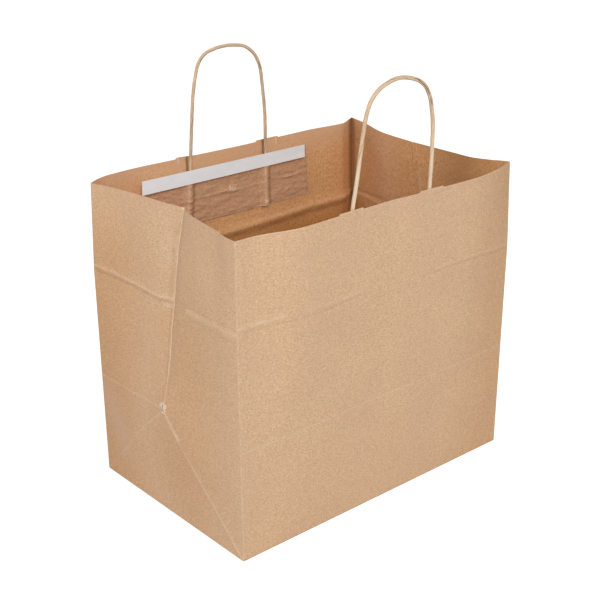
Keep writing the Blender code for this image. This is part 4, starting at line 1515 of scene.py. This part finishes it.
@dataclass
class RopeHandle:
    """One twisted paper handle, with the two patches that hold it to its panel."""

    name: str
    wall: Wall
    centre_x: float
    height: float
    lean: float
    slant: float
    arch: Knots
    shape: SheetShape
    effects: PaperEffects
    rope_finish: RopeFinish
    rope_tree: bpy.types.NodeTree
    rope_radius: float = 0.00175
    leg_spacing: float = 0.089
    splay: float = 0.0
    patch_length: float = 0.192
    patch_height: float = 0.049
    patch_below_rim: float = 0.015
    base_inset: float = 0.002
    ridge_half_width: float = 0.0080
    rope_end_above_edge: float = 0.0015
    paper: float = 0.0002
    glue_gap: float = 0.0003
    patch_pitch: float = 0.0012
    route_step: float = 0.003
    rope_sharp_turn: float = 50.0
    patch_sharp_turn: float = 60.0
    held_edge: float = 0.004
    cockle: tuple[float, float, float] = (0.00040, 0.00065, 0.00030)
    pleats: tuple[tuple[float, ...], ...] = (
        (0.2490, 0.000, 0.0012, 0.0028, 0.00140, 8.8),
        (0.2590, -0.006, 0.0014, 0.0018, 0.00055, 4.1),
        (0.2400, 0.018, 0.0016, 0.0020, 0.00055, 3.3),
        (0.2335, 0.004, 0.0012, 0.0016, 0.00040, 6.7),
    )
    star: tuple[float, float, float] = (0.0017, 0.2510, 0.0065)
    star_rise: float = 0.0016

    def leg_x(self, which: int, z: float) -> float:
        """x of the left (-1) or right (1) leg at height z."""
        below = max(0.0, self.shape.height - z) / (self.patch_below_rim + self.patch_height)
        return (self.centre_x + which * self.leg_spacing / 2
                + (self.slant + which * self.splay) * below)

    @property
    def rope_offset(self) -> float:
        """Distance of a glued leg's centre line from the panel's inner face."""
        return 2 * self.glue_gap + self.paper + self.rope_radius

    @property
    def flat_offset(self) -> float:
        """Distance of the cover patch's back from the panel where no rope lies under it."""
        return 2 * self.glue_gap + self.paper

    @property
    def ridge_offset(self) -> float:
        """Distance of the cover patch's back from the panel over a leg."""
        return self.rope_offset + self.rope_radius + self.glue_gap

    @property
    def patch_bottom(self) -> float:
        """Height of the cover patch's lower edge."""
        return self.shape.height - self.patch_below_rim - self.patch_height

    def leg(self, which: int) -> list[Vector]:
        """Route of one leg, from its glued end up to the rim."""
        foot = self.patch_bottom + self.rope_end_above_edge
        heights = [foot + (self.shape.height - foot) * k / 4 for k in range(5)]
        return [
            self.shape.inner_point(self.wall, self.leg_x(which, z), z, self.rope_offset)
            for z in heights
        ]

    def route(self) -> list[Vector]:
        """Points of the rope's centre line: left leg, arch and right leg."""
        left, right = self.leg(-1), self.leg(1)
        arch = []
        for across, up in self.arch:
            share = min(max(across + 0.5, 0.0), 1.0)
            rim_y = left[-1].y + (right[-1].y - left[-1].y) * share
            arch.append(Vector((
                self.centre_x + across * self.leg_spacing,
                rim_y + self.lean * up,
                self.shape.height + up * self.height,
            )))
        points = left + arch + right[::-1]
        ends = [2 * points[0] - points[1], *points, 2 * points[-1] - points[-2]]
        smooth = []
        for a, b, c, d in zip(ends, ends[1:], ends[2:], ends[3:]):
            for k in range(max(1, round((c - b).length / self.route_step))):
                t = k / max(1, round((c - b).length / self.route_step))
                bend = (2 * a - 5 * b + 4 * c - d) * t * t + (3 * b - a - 3 * c + d) * t ** 3
                smooth.append(b + 0.5 * ((c - a) * t + bend))
        return smooth + [points[-1]]

    def rope(self) -> bpy.types.Object:
        """The rope, laid along its route by geometry nodes."""
        points = self.route()
        mesh = bpy.data.meshes.new(f"{self.name}_twisted_rope")
        mesh.from_pydata(points, [(k, k + 1) for k in range(len(points) - 1)], [])
        rope = linked(mesh.name, mesh)
        laid = rope.modifiers.new("lay rope", "NODES")
        laid.node_group = self.rope_tree
        sizes = {"Radius": self.rope_radius, "Finish": self.rope_finish.material(self.effects)}
        for item in self.rope_tree.interface.items_tree:
            if item.in_out == "INPUT" and item.name in sizes:
                laid[item.identifier] = sizes[item.name]
        applied(rope)
        outward(rope.data)
        shade_by_angle(rope.data, self.rope_sharp_turn)
        return rope

    def ridge(self, x: float, z: float) -> float:
        """How far the cover patch stands up over the nearer leg."""
        nearest = min(abs(x - self.leg_x(which, z)) for which in (-1, 1))
        if nearest >= self.ridge_half_width:
            return 0.0
        bend = math.cos(math.pi / 2 * nearest / self.ridge_half_width) ** 2
        return (self.ridge_offset - self.flat_offset) * bend

    def wrinkles(self, x: float, z: float) -> float:
        """How far glue has cockled the cover patch, away from the panel."""
        along = x - self.centre_x
        broad = 0.5 + 0.5 * wander(x, 5.0 * z, 0.034, 11.3)
        fine = abs(wander(x, 3.2 * z, 0.012, 4.9))
        small = abs(wander(x, 2.4 * z, 0.0055, 9.4))
        lift = self.cockle[0] * broad + self.cockle[1] * fine + self.cockle[2] * small
        for height, slope, drift, reach, rise, seed in self.pleats:
            line = height + slope * along + drift * wander(x, 0.0, 0.028, seed)
            near = 1.0 - abs(z - line) / reach
            if near > 0.0:
                lift += rise * near * near * ease(0.55 + 0.9 * wander(x, 0.0, 0.05, seed + 2.2))
        star_x, star_z, reach = self.star
        near = 1.0 - math.hypot(along - star_x, z - star_z) / reach
        if near > 0.0:
            lift += self.star_rise * ease(near) * abs(wander(x, z, 0.0042, 3.7))
        return lift

    def patch(self, kind: PatchKind, finish: bpy.types.Material) -> bpy.types.Object:
        """A paper patch on the panel's inner face.

        Args:
            kind: the one under the rope or the one over it.
            finish: its material.

        Returns:
            The patch as a thin closed piece.
        """
        cover = kind is PatchKind.COVER
        inset = 0.0 if cover else self.base_inset
        half = self.patch_length / 2 - inset
        columns = filled([self.centre_x - half, self.centre_x + half], self.patch_pitch)
        low = self.patch_bottom + inset
        high = self.shape.height - self.patch_below_rim - inset
        rows = filled([low, high], self.patch_pitch)
        bm = bmesh.new()
        paper = bm.loops.layers.uv.new("UVMap")
        places = {}
        grid = []
        for z in rows:
            line = []
            for x in columns:
                offset = self.glue_gap
                if cover:
                    held = min(x - columns[0], columns[-1] - x, z - low) / self.held_edge
                    offset = self.flat_offset + self.ridge(x, z)
                    offset += self.wrinkles(x, z) * ease(0.25 + held)
                vertex = bm.verts.new(self.shape.inner_point(self.wall, x, z, offset))
                places[vertex] = (x - columns[0], z - low)
                line.append(vertex)
            grid.append(line)
        for cell in cells(grid):
            face = bm.faces.new(cell if self.wall is Wall.FRONT else cell[::-1])
            for loop in face.loops:
                loop[paper].uv = places[loop.vert]
        name = f"{self.name}_{kind.value}_patch_paper"
        patch = linked(name, mesh_of(bm, name))
        patch.data.materials.append(finish)
        thicken(patch, self.paper)
        shade_by_angle(patch.data, self.patch_sharp_turn)
        return patch

    def build(self, patch_finish: bpy.types.Material) -> list[bpy.types.Object]:
        """Build the rope and both patches, and put them on the body."""
        rope = self.rope()
        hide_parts(f"{self.name}_handle_rope")
        pieces = [rope]
        for kind in PatchKind:
            patch = self.patch(kind, patch_finish)
            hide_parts(f"{self.name}_handle_{kind.value}_patch")
            pieces.append(patch)
        for piece in pieces:
            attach(piece, "root")
        return pieces


@dataclass
class ClosureStrip:
    """Straight grey strip across both legs of a handle, resting on its cover patch."""

    handle: RopeHandle
    length: float = 0.1925
    width: float = 0.0128
    thickness: float = 0.0003
    below_rim: float = 0.0116
    shift: float = -0.0055
    clearance: float = 0.0005
    pitch: float = 0.004
    left_cut: tuple[float, float] = (-0.0010, 0.0006)
    right_cut: float = -0.0008

    def build(self) -> list[bpy.types.Object]:
        """Build the strip and put it on the body."""
        handle, shape = self.handle, self.handle.shape
        back = handle.ridge_offset + handle.paper + handle.glue_gap + self.clearance
        high = shape.height - self.below_rim
        reaches = filled([self.shift - self.length / 2, self.shift + self.length / 2], self.pitch)
        bm = bmesh.new()
        rows = []
        for up in (0.0, 0.5, 1.0):
            z = high - self.width * (1.0 - up)
            left, right = [
                shape.inner_point(handle.wall, handle.leg_x(which, z), z, back)
                for which in (-1, 1)
            ]
            row = []
            for reach in reaches:
                low_end = self.left_cut[0] * (1.0 - up) + self.left_cut[1] * up
                far = 0.5 + (reach - self.shift) / self.length
                reach += low_end * (1.0 - far) + self.right_cut * far
                share = (handle.centre_x + reach - left.x) / (right.x - left.x)
                row.append(bm.verts.new(left + (right - left) * share))
            rows.append(row)
        for cell in cells(rows):
            bm.faces.new(cell[::-1])
        name = "grey_closure_strip"
        strip = linked(name, mesh_of(bm, name))
        strip.data.materials.append(LinerFinish().material())
        thicken(strip, self.thickness)
        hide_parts("closure_strip")
        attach(strip, "root")
        return [strip]


@dataclass
class Studio:
    """White floor, soft light and the camera."""

    floor_half: float = 6.0
    floor_shade: float = 0.80
    floor_glow: float = 0.56
    sky: float = 0.60
    camera_place: tuple[float, float, float] = (-0.746136, -0.871669, 0.641062)
    azimuth: float = -40.408
    elevation: float = 22.555
    roll: float = -0.582
    focal_pixels: float = 1321.5
    frame_pixels: float = 600.0
    lamp_target: tuple[float, float, float] = (0.0, 0.0, 0.15)
    lamps: tuple[tuple[str, tuple[float, float, float], float, float], ...] = (
        ("key_lamp", (-1.95, -2.80, 2.20), 1.7, 76.0),
        ("left_fill", (-1.6, 0.35, 0.85), 1.2, 2.0),
    )

    def floor(self) -> bpy.types.Object:
        """A pale floor that the camera sees as white, apart from the bag's soft shadow."""
        mesh = bpy.data.meshes.new("studio_floor")
        half = self.floor_half
        corners = [(-half, -half, 0.0), (half, -half, 0.0), (half, half, 0.0), (-half, half, 0.0)]
        mesh.from_pydata(corners, [], [(0, 1, 2, 3)])
        floor = linked("studio_floor", mesh)
        material, graph, surface = new_material("studio_floor")
        surface.inputs["Base Color"].default_value = (*[self.floor_shade] * 3, 1.0)
        surface.inputs["Roughness"].default_value = 0.9
        surface.inputs["Specular IOR Level"].default_value = 0.0
        surface.inputs["Emission Color"].default_value = (1.0, 1.0, 1.0, 1.0)
        seen = graph.add("ShaderNodeLightPath").outputs["Is Camera Ray"]
        graph.put(
            surface.inputs["Emission Strength"], graph.maths("MULTIPLY", seen, self.floor_glow)
        )
        mesh.materials.append(material)
        return floor

    def world(self) -> None:
        """Even white surroundings: plain light for the bag, white for the camera."""
        world = bpy.data.worlds.new("studio")
        world.use_nodes = True
        bpy.context.scene.world = world
        graph = Graph(world.node_tree)
        background = world.node_tree.nodes["Background"]
        seen = graph.add("ShaderNodeLightPath").outputs["Is Camera Ray"]
        graph.put(background.inputs["Strength"], graph.spread(seen, 0.0, 1.0, self.sky, 1.0))
        background.inputs["Color"].default_value = (1.0, 1.0, 1.0, 1.0)

    @staticmethod
    def lamp(name: str, place: Sequence[float], target: Sequence[float], size: float,
             power: float) -> bpy.types.Object:
        """A soft square lamp that shines from a place towards a target."""
        light = bpy.data.lights.new(name, "AREA")
        light.shape = "SQUARE"
        light.size = size
        light.energy = power
        lamp = linked(name, light)
        aim = (Vector(target) - Vector(place)).to_track_quat("-Z", "Y")
        lamp.matrix_world = Matrix.Translation(place) @ aim.to_matrix().to_4x4()
        return lamp

    def camera(self) -> bpy.types.Object:
        """The camera, at the photograph's viewing angle."""
        turn, rise = math.radians(self.azimuth), math.radians(self.elevation)
        back = Vector((
            math.sin(turn) * math.cos(rise), -math.cos(turn) * math.cos(rise), math.sin(rise)
        ))
        right = Vector((0.0, 0.0, 1.0)).cross(back).normalized()
        level = Matrix((right, back.cross(right), back)).transposed()
        data = bpy.data.cameras.new("studio_camera")
        data.sensor_width = 36.0
        data.lens = data.sensor_width * self.focal_pixels / self.frame_pixels
        data.clip_start = 0.05
        camera = linked("studio_camera", data)
        rolled = level @ Matrix.Rotation(math.radians(self.roll), 3, "Z")
        camera.matrix_world = Matrix.Translation(self.camera_place) @ rolled.to_4x4()
        bpy.context.scene.camera = camera
        return camera

    def build(self) -> None:
        """Set up the floor, the lights and the camera."""
        self.floor()
        self.world()
        for name, place, size, power in self.lamps:
            self.lamp(name, place, self.lamp_target, size, power)
        self.camera()
        bpy.context.scene.view_settings.view_transform = "Standard"


# Arch of each handle: across in leg spacings, up in handle heights
BACK_ARCH: Knots = (
    (-0.479, 0.285), (-0.453, 0.575), (-0.417, 0.760), (-0.372, 0.880), (-0.294, 0.951),
    (-0.174, 0.985), (-0.032, 0.998), (0.105, 0.988), (0.222, 0.963), (0.336, 0.890),
    (0.404, 0.795), (0.434, 0.712), (0.463, 0.532), (0.492, 0.290),
)
FRONT_ARCH: Knots = (
    (-0.464, 0.223), (-0.432, 0.464), (-0.401, 0.670), (-0.369, 0.790), (-0.309, 0.884),
    (-0.204, 0.950), (-0.091, 0.982), (0.018, 0.992), (0.143, 0.974), (0.265, 0.936),
    (0.359, 0.872), (0.422, 0.782), (0.451, 0.695), (0.480, 0.574), (0.494, 0.420),
    (0.501, 0.255),
)


def main() -> None:
    """Build the bag, its handles, its strip and the studio, and report each piece."""
    logging.basicConfig(level=logging.INFO, format="%(name)s: %(message)s")
    effects = PaperEffects()
    shape = SheetShape()
    tree = rope_tree()
    patch_finish = KraftFinish(
        "kraft_patches", shade=(0.575, 0.328, 0.185), deep=(0.43, 0.22, 0.108),
        pale=(0.82, 0.60, 0.43), flush=(0.545, 0.30, 0.168), grain=(0.6, 1.0, 1.0), mottle=0.75,
        fleck=0.24, rib_tone=0.10, rib_height=0.5, rib_pitch=0.0012, bump=0.00018,
    ).material(effects, PATCH_MARKS, PATCH_CRUMPLES)
    front = RopeHandle(
        "front", Wall.FRONT, 0.0031, 0.1062, -0.006, 0.0, FRONT_ARCH, shape, effects,
        RopeFinish(
            "front_rope_paper", pale_from=0.315, pale_to=0.355, pale_share=0.50,
            marks=((0.2060, 0.258, 0.2200, 0.170), (0.2200, 0.170, 0.2325, 0.012),
                   (0.2335, 0.985, 0.2412, 0.850)),
        ), tree, leg_spacing=0.0880,
    )
    back = RopeHandle(
        "back", Wall.BACK, -0.0030, 0.1000, -0.003, -0.0070, BACK_ARCH, shape, effects,
        RopeFinish(
            "back_rope_paper",
            marks=((0.1545, 0.735, 0.1625, 0.665), (0.2315, 0.720, 0.2400, 0.550)),
        ), tree, rope_radius=0.0016, leg_spacing=0.0875, splay=0.0030,
    )
    pieces = BagBody(shape, effects).build()
    pieces += front.build(patch_finish)
    pieces += back.build(patch_finish)
    pieces += ClosureStrip(back).build()
    for piece in pieces:
        LOG.info("%s: %d faces", piece.name, len(piece.data.polygons))
    Studio().build()


if __name__ == "__main__":
    main()
